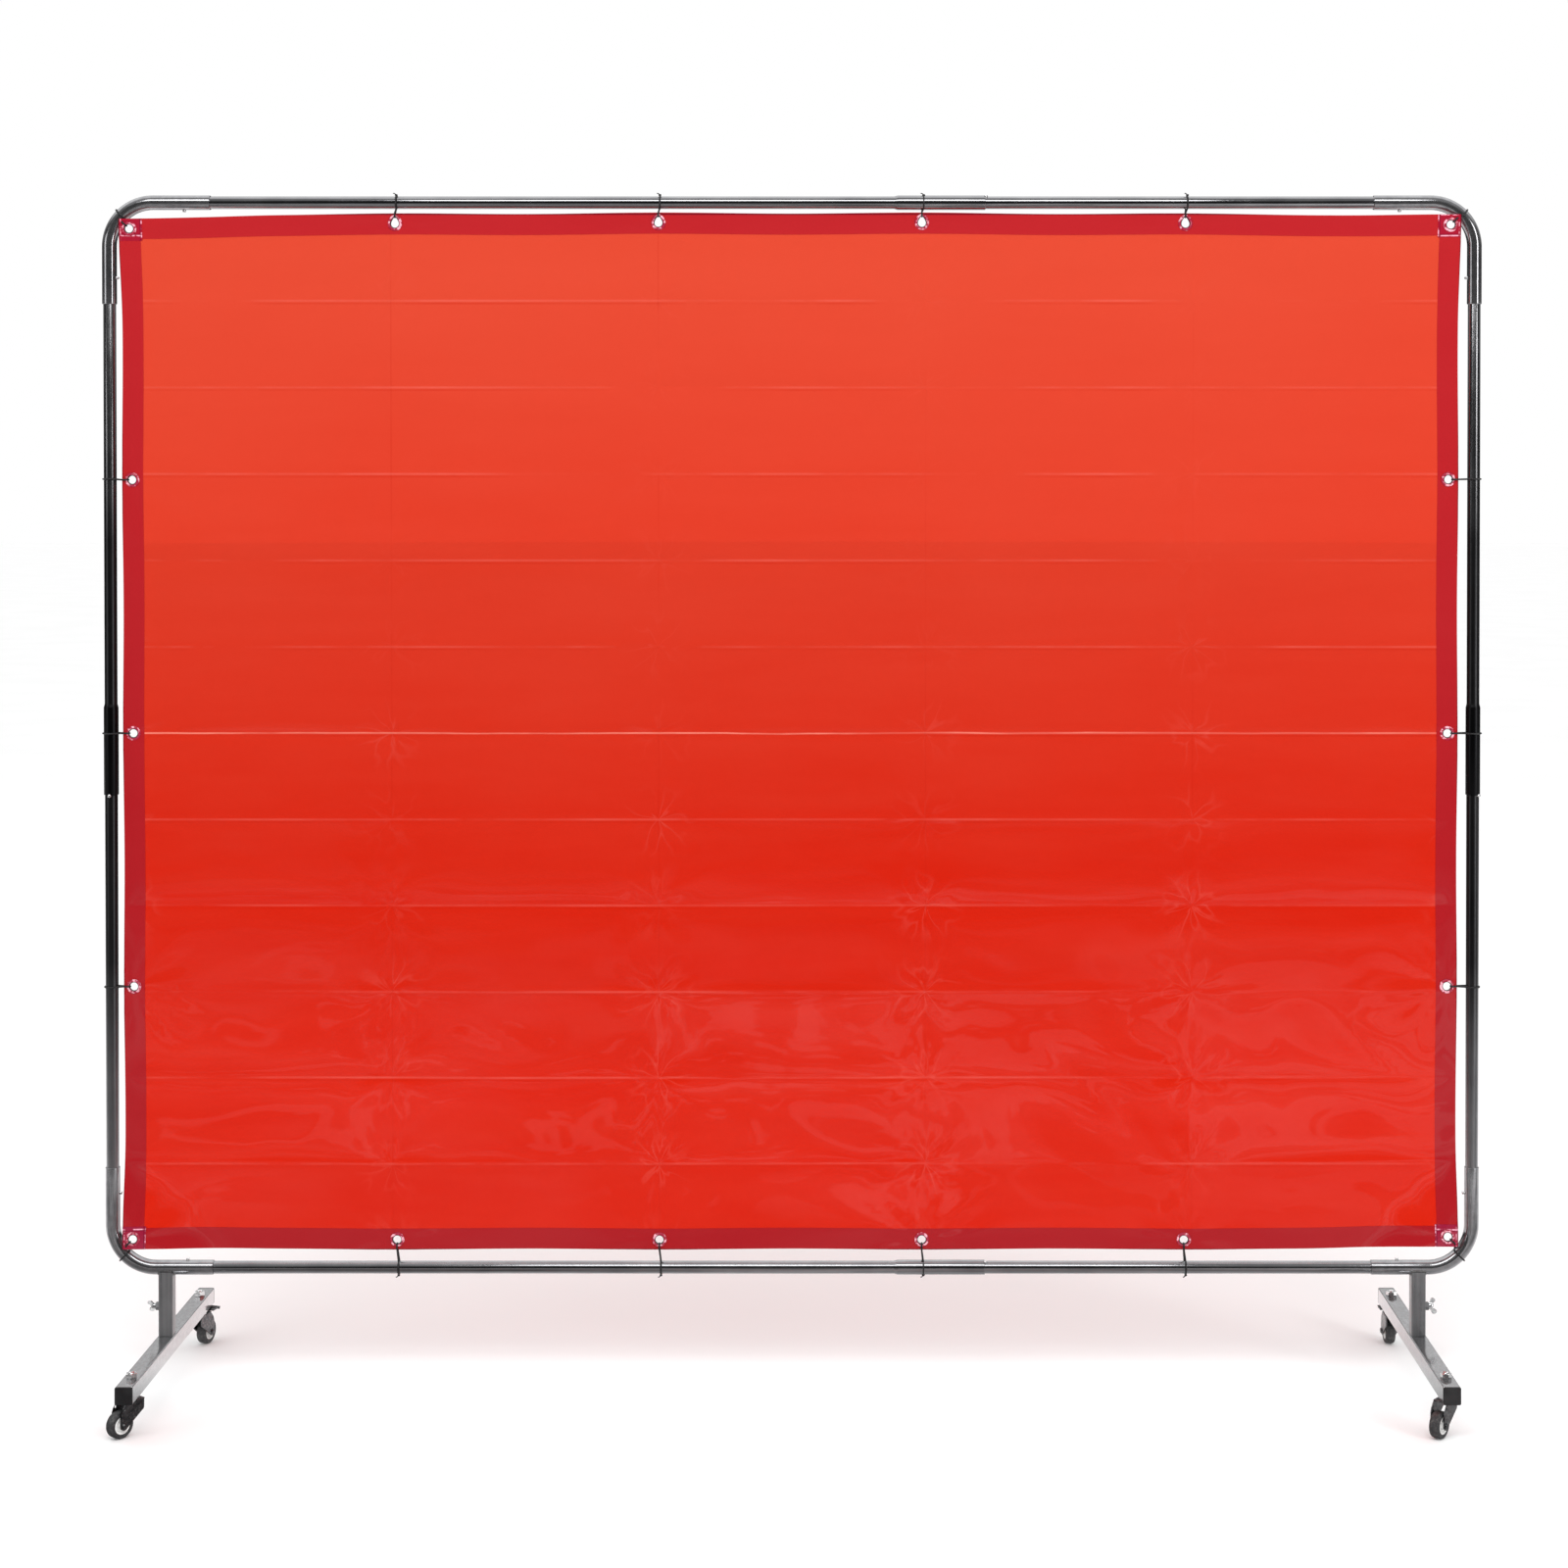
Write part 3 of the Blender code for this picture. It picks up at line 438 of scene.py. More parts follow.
LOOKS = {
    "tube_across": steel("tube_steel_across", TUBE_DARK, TUBE_LIGHT, (5, 260, 260)),
    "tube_side": side_steel(),
    "tube_bend": steel(
        "tube_steel_bend", TUBE_DARK, TUBE_LIGHT, (90, 90, 90), (0.10, 0.15), 0.0000015, 0.92
    ),
    "post": steel(
        "post_steel", (0.12, 0.12, 0.124), (0.19, 0.19, 0.194), (260, 260, 4), (0.26, 0.36), 0.00001, 0.55
    ),
    "beam": beam_zinc(),
    "weld": steel(
        "weld_steel", (0.10, 0.10, 0.105), (0.30, 0.29, 0.28), (300, 300, 300), (0.30, 0.5), 0.00004
    ),
    "bright": bright_metal(),
    "fork": fork_metal(),
    "cap": plastic("cap_plastic", (0.006, 0.006, 0.007), (0.014, 0.014, 0.015), 0.38, 900.0, 0.00004),
    "tyre": tyre_rubber(),
    "hub": plastic("hub_plastic", (0.62, 0.62, 0.61), (0.80, 0.80, 0.79), 0.30, 500.0, 0.00003),
    # Each vinyl's first colour is its painted lit top, the second its deeper bottom.
    "sheet": vinyl("curtain_vinyl", (0.645, 0.062, 0.030), (0.620, 0.016, 0.005), 0.30, "sheet"),
    "hem": vinyl("hem_vinyl", (0.40, 0.015, 0.019), (0.335, 0.010, 0.014), 0.12, "hem"),
    "patch": vinyl("patch_vinyl", (0.30, 0.008, 0.024), (0.26, 0.010, 0.034), 0.06, "patch"),
    # The eyelet's second colour is its painted highlight.
    "eyelet": eyelet_plastic("eyelet_ring", (0.34, 0.016, 0.045), (0.86, 0.42, 0.50), 0.10),
    # A darker copy of the ring's material: painted shade on the hole's wall.
    "rim": eyelet_plastic("eyelet_rim_shade", (0.04, 0.002, 0.006), (0.07, 0.004, 0.010), 0.0),
    "tie": plastic("tie_cord", (0.004, 0.004, 0.005), (0.011, 0.011, 0.012), 0.50, 1500.0, 0.00006),
}


# ---- mesh helpers ----


def tidy(mesh, sharp=35.0):
    """Welds the mesh, turns its faces outward and smooths it between its sharp edges."""
    work = bmesh.new()
    work.from_mesh(mesh)
    bmesh.ops.remove_doubles(work, verts=work.verts, dist=0.000002)
    bmesh.ops.recalc_face_normals(work, faces=work.faces)
    work.to_mesh(mesh)
    work.free()
    mesh.shade_smooth()
    mesh.set_sharp_from_angle(angle=math.radians(sharp))
    return mesh


def from_points(name, points, faces, sharp=35.0):
    mesh = bpy.data.meshes.new(name)
    mesh.from_pydata([tuple(p) for p in points], [], faces)
    return tidy(mesh, sharp)


def skin(name, rings, loop=False, sharp=35.0):
    """A closed skin through rings of equally many points; loop joins the last ring to the first."""
    count = len(rings[0])
    points = [p for ring in rings for p in ring]
    faces = []
    pairs = list(zip(range(len(rings) - 1), range(1, len(rings))))
    if loop:
        pairs.append((len(rings) - 1, 0))
    for a, b in pairs:
        for i in range(count):
            j = (i + 1) % count
            faces.append((a * count + i, a * count + j, b * count + j, b * count + i))
    if not loop:
        faces.append(tuple(range(count)))
        faces.append(tuple((len(rings) - 1) * count + i for i in range(count)))
    return from_points(name, points, faces, sharp)


def placed(name, data):
    """A new object in the scene."""
    obj = bpy.data.objects.new(name, data)
    bpy.context.scene.collection.objects.link(obj)
    return obj


def at(x, y, z):
    return Matrix.Translation((x, y, z))


def rotation(degrees, axis):
    return Matrix.Rotation(math.radians(degrees), 4, axis)


def circle(radius, sides, z=0.0):
    angles = [i * (2 * math.pi / sides) for i in range(sides)]
    return [Vector((radius * math.cos(a), radius * math.sin(a), z)) for a in angles]


def ring_round(point, first, second, radius, sides=10):
    """A ring about a point, in the plane of two unit vectors."""
    angles = [2 * math.pi * k / sides for k in range(sides)]
    return [point + (first * math.cos(a) + second * math.sin(a)) * radius for a in angles]


def rounded_square(half, corner, z, steps=6):
    points = []
    for turn in range(4):
        middle = math.radians(45 + 90 * turn)
        x = math.copysign(half - corner, math.cos(middle))
        y = math.copysign(half - corner, math.sin(middle))
        for i in range(steps + 1):
            angle = math.radians(90 * turn + 90 * i / steps)
            points.append(Vector((x + corner * math.cos(angle), y + corner * math.sin(angle), z)))
    return points


def turned(name, profile, sides=48, loop=False, sharp=35.0):
    """(radius, height) points turned about Z. Without loop, both ends are closed by flat faces."""
    return skin(name, [circle(r, sides, z) for r, z in profile], loop, sharp)


def mirrored(profile):
    """The profile's mirror image below Z 0, in reverse order."""
    return [(r, -z) for r, z in profile[::-1]]


def rod(radius, start, end, sides=32):
    """A plain cylinder about Z that cuts a bore."""
    return turned("rod", [(radius, start), (radius, end)], sides)


def arc(centre, radius, start, end, steps):
    angles = [math.radians(start + (end - start) * i / steps) for i in range(steps + 1)]
    return [(centre[0] + radius * math.cos(a), centre[1] + radius * math.sin(a)) for a in angles]


def plate(name, loops, thickness):
    """A flat outline in local XY, with any later loops as holes, centred on its thickness."""
    curve = bpy.data.curves.new(name, "CURVE")
    curve.dimensions = "2D"
    curve.fill_mode = "BOTH"
    curve.extrude = thickness / 2
    for loop in loops:
        spline = curve.splines.new("POLY")
        spline.points.add(len(loop) - 1)
        for point, (x, y) in zip(spline.points, loop):
            point.co = (x, y, 0.0, 1.0)
        spline.use_cyclic_u = True
    return tidy(evaluated(placed(name, curve)))


def evaluated(obj):
    """The mesh that an object and its modifiers give. The object is removed."""
    bpy.context.view_layer.update()
    graph = bpy.context.evaluated_depsgraph_get()
    mesh = bpy.data.meshes.new_from_object(obj.evaluated_get(graph))
    bpy.data.objects.remove(obj, do_unlink=True)
    return mesh


def combined(name, base, steps, sharp=35.0):
    """Base joined with or cut by each (operation, mesh, matrix) in turn."""
    obj = placed(name, base)
    helpers = []
    for operation, mesh, matrix in steps:
        helper = placed(name + "_helper", mesh)
        helper.matrix_world = matrix
        helpers.append(helper)
        modifier = obj.modifiers.new(operation, "BOOLEAN")
        modifier.operation = operation
        modifier.object = helper
    mesh = tidy(evaluated(obj), sharp)
    for helper in helpers:
        bpy.data.objects.remove(helper, do_unlink=True)
    mesh.name = name
    return mesh


def box(name, size, centre, bevel, segments=3):
    mesh = bpy.data.meshes.new(name)
    work = bmesh.new()
    bmesh.ops.create_cube(work, size=1.0, matrix=at(*centre) @ Matrix.Diagonal((*size, 1.0)))
    bmesh.ops.bevel(work, geom=work.edges[:], offset=bevel, segments=segments, profile=0.5, affect="EDGES")
    work.to_mesh(mesh)
    work.free()
    return tidy(mesh)


def moved(mesh, matrix):
    mesh = mesh.copy()
    mesh.transform(matrix)
    return mesh


def joined(name, meshes):
    """Several closed meshes as one mesh."""
    work = bmesh.new()
    for mesh in meshes:
        work.from_mesh(mesh)
    mesh = bpy.data.meshes.new(name)
    work.to_mesh(mesh)
    work.free()
    mesh.shade_smooth()
    mesh.set_sharp_from_angle(angle=math.radians(35))
    return mesh


def aimed(origin, direction):
    turn = Vector(direction).to_track_quat("Z", "Y").to_matrix().to_4x4()
    return at(*origin) @ turn


def show(name, mesh, body, look, replaced=(), bevel=0.0):
    """Adds a piece with its material, the body it rides on and the nodes it stands for."""
    if look:
        mesh.materials.clear()
        mesh.materials.append(LOOKS[look])
    obj = placed(name, mesh)
    if bevel:
        rounding = obj.modifiers.new("Bevel", "BEVEL")
        rounding.width = bevel
        rounding.segments = 2
        rounding.limit_method = "ANGLE"
        rounding.angle_limit = math.radians(40)
    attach(obj, body)
    if replaced:
        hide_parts(*replaced)
    return obj


def show_node(node, mesh, body, look, bevel=0.0):
    """Shows a finer piece in place of one CAD node."""
    show("shown_" + node, mesh, body, look, [node], bevel)


# ---- frame ----


def pipe_rings(path, radii, sides=40):
    """Rings round a path in the XZ plane; radii has one radius for each point of it."""
    rings = []
    for i, point in enumerate(path):
        before = path[max(i - 1, 0)]
        after = path[min(i + 1, len(path) - 1)]
        tangent = Vector((after[0] - before[0], 0, after[1] - before[1])).normalized()
        across = Vector((tangent.z, 0, -tangent.x))
        rings.append(ring_round(Vector((point[0], 0, point[1])), across, Vector((0, 1, 0)), radii[i], sides))
    return rings


def pipe(name, path, radii):
    """A hollow tube along a path, with its ends' outer edges broken."""
    outer = pipe_rings(path, radii)
    inner = pipe_rings(path, [r - WALL for r in radii])
    return skin(name, outer + inner[::-1], loop=True)


def straight(name, start, end, socket):
    """A tube from start to end in the XZ plane; socket widens its start."""
    way = Vector(end) - Vector(start)
    length = way.length
    way.normalize()
    marks = [(0.0, TUBE - 0.0005), (0.0004, TUBE - 0.0001), (0.001, TUBE)]
    if socket:
        deep = SOCKET_DEPTH
        marks = [(0.0, SOCKET - 0.0005), (0.0004, SOCKET - 0.0001), (0.001, SOCKET), (deep - 0.001, SOCKET)]
        marks += [(deep + 0.0005, SOCKET - 0.0002), (deep + 0.003, (SOCKET + TUBE) / 2)]
        marks += [(deep + 0.0055, TUBE + 0.0002), (deep + SOCKET_TAPER + 0.001, TUBE)]
    marks += [(length - 0.001, TUBE), (length, TUBE - 0.0004)]
    path = [tuple(Vector(start) + way * s) for s, _ in marks]
    return pipe(name, path, [r for _, r in marks])


def drilled(name, mesh, places):
    bore = rod(BUTTON + 0.0003, 0.005, 0.020)
    return combined(name, mesh, [("DIFFERENCE", bore, place) for place in places])


def button_mesh(base, top):
    dome = 0.0018
    profile = [(0.0007, top)]
    for i in range(8):
        a = math.radians(20 + 10 * i)
        profile.append((BUTTON * math.sin(a), top - dome + dome * math.cos(a)))
    profile += [(BUTTON, 0.0083), (0.0043, 0.0083), (0.0043, base), (0.0010, base)]
    return turned("button", profile, 32)


def build_frame():
    """Tubes and bends on the frame's body, and the sprung buttons in them."""
    top, bottom, half = FRAME_TOP, FRAME_BOTTOM, HALF_WIDTH
    insert = SOCKET_DEPTH - 0.002
    places = {}
    holes = {}
    for side, sign in SIDES.items():
        for level, z, up in (("top", top, -1), ("bottom", bottom, 1)):
            crossing = Vector((sign * half, 0, z))
            across, along = Vector((-sign, 0, 0)), Vector((0, 0, up))
            bar = aimed(crossing + across * CORNER_BUTTON, along)
            rail = aimed(crossing + along * CORNER_BUTTON, across)
            places[f"{level}_{side}_bar"] = bar
            places[f"{level}_{side}_side"] = rail
            holes[f"corner_{level}_{side}"] = [bar, rail]
            holes.setdefault(f"{level}_tube_{side}", []).append(bar)
            holes.setdefault(f"side_tube_{'upper' if level == 'top' else 'lower'}_{side}", []).append(rail)
    # The mid joints, and how far the button of each is turned away from the front.
    for name, degrees in (("left", 0), ("right", 40), ("top", 60), ("bottom", 60)):
        turn = math.radians(degrees)
        if name in SIDES:
            origin = (SIDES[name] * half, 0, SIDE_SOCKET_END - 0.001)
            place = aimed(origin, (math.sin(turn), -math.cos(turn), 0))
            ends = (f"side_tube_upper_{name}", f"side_tube_lower_{name}")
        else:
            origin = (BAR_SOCKET_END + 0.001, 0, top if name == "top" else bottom)
            place = aimed(origin, (0, -math.cos(turn), math.sin(turn)))
            ends = (f"{name}_tube_left", f"{name}_tube_right")
        places["mid_" + name] = place
        for end in ends:
            holes[end].append(place)

    for side, sign in SIDES.items():
        x = sign * half
        socket_end = SIDE_SOCKET_END
        upper = straight("upper", (x, socket_end), (x, top - TUBE_END), True)
        lower = straight("lower", (x, bottom + TUBE_END), (x, socket_end + insert), False)
        for name, mesh in ((f"side_tube_upper_{side}", upper), (f"side_tube_lower_{side}", lower)):
            show_node(name, drilled(name, mesh, holes[name]), "frame", "tube_side")
        for level, z in (("top", top), ("bottom", bottom)):
            name = f"{level}_tube_{side}"
            if side == "left":
                mesh = straight(name, (BAR_SOCKET_END, z), (-half + TUBE_END, z), True)
            else:
                mesh = straight(name, (BAR_SOCKET_END - insert, z), (half - TUBE_END, z), False)
            show_node(name, drilled(name, mesh, holes[name]), "frame", "tube_across")
            up = -1 if level == "top" else 1
            marks = [(CORNER_LEG, 0.0), (CORNER_LEG - 0.0004, 0.0), (CORNER_LEG - 0.001, 0.0)]
            path = marks + arc((BEND, BEND), BEND, 270, 180, 28) + [(0.0, a) for a, _ in marks[::-1]]
            rim = [SOCKET - 0.0005, SOCKET - 0.0001]
            radii = rim + [SOCKET] * (len(path) - 4) + rim[::-1]
            path = [(x - sign * a, z + up * b) for a, b in path]
            name = f"corner_{level}_{side}"
            mesh = drilled(name, pipe(name, path, radii), holes[name])
            show_node(name, mesh, "frame", "tube_bend")
    for name, place in places.items():
        node = "snap_button_" + name
        proud = SOCKET if not name.startswith("mid") else TUBE
        mesh = moved(button_mesh(BUTTON_BASE, proud + BUTTON_RISE), place)
        show_node(node, mesh, node, "bright")


def weld_bead(name, path, radius, seed):
    """A lumpy closed bead along a closed path."""
    rings = []
    count = len(path)
    for i, point in enumerate(path):
        tangent = (path[(i + 1) % count] - path[i - 1]).normalized()
        first = tangent.cross(Vector((0.3, 0.2, 1.0))).normalized()
        second = tangent.cross(first)
        size = radius * (1.0 + 0.22 * math.sin(i * 1.9) + 0.25 * noise.noise(Vector((i * 0.7, seed, 0))))
        rings.append(ring_round(point, first, second, size))
    return skin(name, rings, loop=True, sharp=80)


def square_tube(name, half, wall, corner, start, end):
    rings = [rounded_square(half - 0.0004, corner, start), rounded_square(half, corner, start + 0.0004)]
    rings += [rounded_square(half, corner, end - 0.0004), rounded_square(half - 0.0004, corner, end)]
    inside = corner - wall * 0.6
    rings += [rounded_square(half - wall, inside, end), rounded_square(half - wall, inside, start)]
    return skin(name, rings, loop=True)


def build_posts():
    """Leg posts with their weld nuts, and the wing screws through them."""
    start = BEAM_BOTTOM + BEAM_SIZE + 0.0003
    tube = square_tube("post", POST_HALF, WALL, SQUARE_CORNER, start, FRAME_BOTTOM - 0.0055)
    saddle = rod(SOCKET + 0.0003, -0.05, 0.05, 64)
    across = rotation(90, "Y")
    nut = hexagon_nut(across=0.013, thickness=0.0072, bore=0.0)
    level = at(0, 0, SCREW_HEIGHT) @ across
    bore = rod(0.0043, 0.0112, 0.030)
    steps = [
        ("UNION", nut, level @ at(0, 0, 0.0123 + 0.0036)),
        ("DIFFERENCE", bore, level),
        ("DIFFERENCE", saddle, at(0, 0, FRAME_BOTTOM) @ across),
    ]
    post = combined("post", tube, steps)
    edge = rounded_square(0.0128, 0.0028, 0.0, 5)
    around = []
    for i, point in enumerate(edge):
        following = edge[(i + 1) % len(edge)]
        pieces = max(1, round((following - point).length / 0.0016))
        around += [point.lerp(following, k / pieces) for k in range(pieces)]
    reach = SOCKET + 0.0006
    bead = []
    for point in around:
        y = min(abs(point.y), reach * 0.985)
        bead.append(Vector((point.x, point.y, FRAME_BOTTOM - math.sqrt(reach * reach - y * y))))
    screw = wing_screw()
    for side, sign in SIDES.items():
        place = at(sign * FOOT_X, 0, 0) @ rotation(0 if sign > 0 else 180, "Z")
        show_node(f"leg_post_{side}", moved(post, place), "frame", "post")
        weld = moved(weld_bead("bead", bead, 0.0011, sign), place)
        show(f"post_weld_{side}", weld, "frame", "weld")
        node = f"wing_screw_{side}"
        place = aimed((sign * (FOOT_X + POST_HALF + 0.007), 0, SCREW_HEIGHT), (sign, 0, 0))
        show_node(node, moved(screw, place), node, "bright", 0.0003)


def hexagon_nut(across, thickness, bore):
    """A chamfered hexagon nut centred on the origin, with its faces across local Z."""
    radius = across / math.sqrt(3)
    angles = [math.radians(60 * i + 30) for i in range(6)]
    corners = [(radius * math.cos(a), radius * math.sin(a)) for a in angles]
    prism = plate("nut", [corners], thickness)
    half = thickness / 2
    face = across / 2 - 0.0002
    slope = radius - face + 0.0004
    cone = [(face, half + 0.0001), (face + slope, half - slope * 0.55)]
    steps = [("INTERSECT", turned("chamfer", cone + mirrored(cone), 64), HERE)]
    if bore:
        lip = [(bore + 0.0008, half + 0.0002), (bore, half - 0.0006)]
        steps.append(("DIFFERENCE", turned("bore", lip + mirrored(lip), 48), HERE))
    return combined("nut", prism, steps, 25)


def wing_screw():
    """A thumb screw with two spread wings; local Z points away from the post."""
    tip = -0.0092
    profile = [(0.0022, 0.0090), (0.0040, 0.0086), (0.0052, 0.0075), (0.0058, 0.0060), (0.0060, 0.0014)]
    profile += [(0.0056, 0.0004), (0.0040, 0.0004)]
    z = -0.0004
    while z > tip + 0.002:
        profile += [(0.0040, z), (0.0036, z - 0.0005)]
        z -= 0.0010
    profile += [(0.0040, tip + 0.001), (0.0030, tip)]
    shank = turned("shank", profile, 40, sharp=30)
    wing = [(0.0028, 0.0016), (0.0058, 0.0022), (0.0085, 0.0036)]
    wing += arc((0.0102, 0.0088), 0.0045, -62, 128, 14)
    wing += [(0.0052, 0.0092), (0.0028, 0.0078)]
    ear = plate("wing", [wing], 0.0026)
    flat = rotation(90, "X")
    steps = [("UNION", ear, rotation(turn, "Z") @ flat) for turn in (50, 230)]
    return combined("wing_screw", shank, steps)


# ---- curtain ----


def fade(value, start, end):
    """0 at start, 1 at end, smooth between."""
    share = min(max((value - start) / (end - start), 0.0), 1.0)
    return share * share * (3 - 2 * share)


def eyelet_grid():
    """Rest positions of the eyelets, as (x, z)."""
    reach = SHEET_HALF - EYELET_INSET
    low, high = SHEET_BOTTOM + EYELET_INSET, SHEET_TOP - EYELET_INSET
    gaps, rises = EYELETS_ACROSS - 1, EYELETS_UP - 1
    places = [(-reach + 2 * reach * i / gaps, z) for i in range(EYELETS_ACROSS) for z in (low, high)]
    places += [(x, low + (high - low) * i / rises) for i in range(1, rises) for x in (-reach, reach)]
    return places


EYELETS = eyelet_grid()
FOLDS_UP = [SHEET_BOTTOM + (SHEET_TOP - SHEET_BOTTOM) * i / PANELS_UP for i in range(1, PANELS_UP)]
FOLDS_ACROSS = [-SHEET_HALF + 2 * SHEET_HALF * i / PANELS_ACROSS for i in range(1, PANELS_ACROSS)]


def crinkle(x, z):
    """Short creases that fan out from where two fold lines cross."""
    depth = 0.0
    for i, across in enumerate(FOLDS_ACROSS):
        for k, up in enumerate(FOLDS_UP):
            dx, dz = x - across, z - up
            distance = math.hypot(dx, dz)
            if distance > 0.20:
                continue
            rays = 5 + (i * 3 + k) % 4
            angle = math.atan2(dz, dx) + 0.35 * noise.noise(Vector((x * 9, z * 9, i + k * 5)))
            wave = 1 - abs((angle * rays / math.pi + 0.37 * (i + 2 * k)) % 2 - 1) * 2
            strength = 0.0010 + 0.0006 * noise.noise(Vector((i * 3.1, k * 2.7, 4)))
            if k in (0, 1, 3):
                strength *= 1.5
            depth += strength * wave * math.exp(-distance / 0.045) * (1 - math.exp(-distance / 0.012))
    return depth


def billow(x, z):
    """Depth of the sheet's shape at one place: panels, fold lines, crinkles and slack."""
    edge = min(SHEET_HALF - abs(x), SHEET_TOP - z, z - SHEET_BOTTOM)
    inside = fade(edge, 0.02, 0.16)
    depth = 0.0045 * noise.noise(Vector((x * 1.3, z * 1.6, 3.0))) * inside
    for i, line in enumerate(FOLDS_UP):
        sign = 1 if i % 2 else -1
        strength = 0.0009 + 0.0010 * noise.noise(Vector((x * 2.2, i * 5.1, 0.5)))
        if i in (0, 3, 5):
            strength *= 1.7
        depth += sign * strength * math.exp(-abs(z - line) / 0.016) * fade(SHEET_HALF - abs(x), 0.0, 0.03)
    for i, line in enumerate(FOLDS_ACROSS):
        sign = -1 if i % 2 else 1
        strength = 0.0007 + 0.0008 * noise.noise(Vector((i * 4.3, z * 2.4, 7.5)))
        depth += sign * strength * math.exp(-abs(x - line) / 0.015) * fade(edge, 0.0, 0.03)
    depth += crinkle(x, z) * inside
    slack = fade(z, 1.1, 0.5) * (0.45 + 0.55 * fade(x, -0.2, 0.9))
    ridge = 1 - 2 * abs(noise.noise(Vector((x * 5.2 + z * 1.5, z * 4.6, 11.0))))
    depth += 0.0024 * slack * inside * ridge
    for ex, ez in EYELETS:
        dx, dz = x - ex, z - ez
        distance = math.hypot(dx, dz)
        if distance < 0.22:
            angle = math.atan2(dz, dx)
            pull = math.cos(angle * 9 + ex * 7 + ez * 5) * math.exp(-distance / 0.06)
            depth += 0.0012 * pull * fade(distance, 0.016, 0.05)
    return depth


def corner_lift(x, z):
    """The curtain's tips bend forward, clear of the frame's bends."""
    edge_z = min(SHEET_TOP - z, z - SHEET_BOTTOM)
    along = (SHEET_HALF - abs(x) + edge_z) / math.sqrt(2)
    return -TIP_BEND * fade(along, TIP_REACH, 0.0)


def draped(x, z):
    """Where the sheet's point (x, z) hangs."""
    bow = math.cos(math.pi * x / (2 * SHEET_HALF))
    share = (z - SHEET_BOTTOM) / (SHEET_TOP - SHEET_BOTTOM)
    lift = (TOP_BOW * bow - TOP_SAG) * share ** 3
    pitch = 2 * (SHEET_HALF - EYELET_INSET) / (EYELETS_ACROSS - 1)
    between = 0.5 - 0.5 * math.cos(2 * math.pi * (x + SHEET_HALF - EYELET_INSET) / pitch)
    lift -= SLACK_TOP * between * share ** 8
    lift += SLACK_BOTTOM * between * (1 - share) ** 8
    side = "left" if x < 0 else "right"
    near_side = fade(abs(x), SHEET_HALF - CORNER_SPAN, SHEET_HALF)
    lift -= CORNER_DROP[side] * near_side * share ** 8
    lift += CORNER_RISE[side] * near_side * (1 - share) ** 8
    rise = (SHEET_TOP - SHEET_BOTTOM - 2 * EYELET_INSET) / (EYELETS_UP - 1)
    beside = 0.5 - 0.5 * math.cos(2 * math.pi * (z - SHEET_BOTTOM - EYELET_INSET) / rise)
    shift = -math.copysign(SLACK_SIDE * beside * (abs(x) / SHEET_HALF) ** 10, x)
    depth = billow(x, z) + corner_lift(x, z)
    return Vector((x + shift + SHEET_SHIFT, depth, z + lift))


def spaced(low, high, marks, step):
    """Sorted grid lines: the marks, and even steps between them."""
    marks = sorted({round(m, 5) for m in marks if low - 1e-6 <= m <= high + 1e-6} | {low, high})
    lines = []
    for a, b in zip(marks, marks[1:]):
        count = max(1, round((b - a) / step))
        lines += [a + (b - a) * i / count for i in range(count)]
    return lines + [high]


def grid_lines(low, high, folds, holes, step, inner):
    marks = list(inner)
    for fold in folds:
        marks += [fold, fold - 0.004, fold + 0.004, fold - 0.011, fold + 0.011]
    for hole in holes:
        marks = [m for m in marks if abs(m - hole) > HOLE_CELL + 0.002]
        marks += [hole + HOLE_CELL * k / 3 for k in range(-3, 4)]
    return spaced(low, high, marks, step)


def at_edges(x, z):
    """Whether an eyelet is one of those down a side, and one of those along the top or bottom."""
    reach = 2 * EYELET_INSET
    return abs(x) > SHEET_HALF - reach, z > SHEET_TOP - reach or z < SHEET_BOTTOM + reach


def pulled(x, z):
    """Whether the eyelet at (x, z) carries the curtain's weight and is drawn out upward."""
    at_side, at_level = at_edges(x, z)
    return at_level and not at_side and z > SHEET_MIDDLE


def drawn_out(x, z, radius, amount):
    """A point of a circle, moved so that the circle's upper half becomes a drop's point."""
    share = max(z, 0.0) / radius * amount
    return x * (1 - 0.28 * share * share), z * (1 + 0.62 * share)


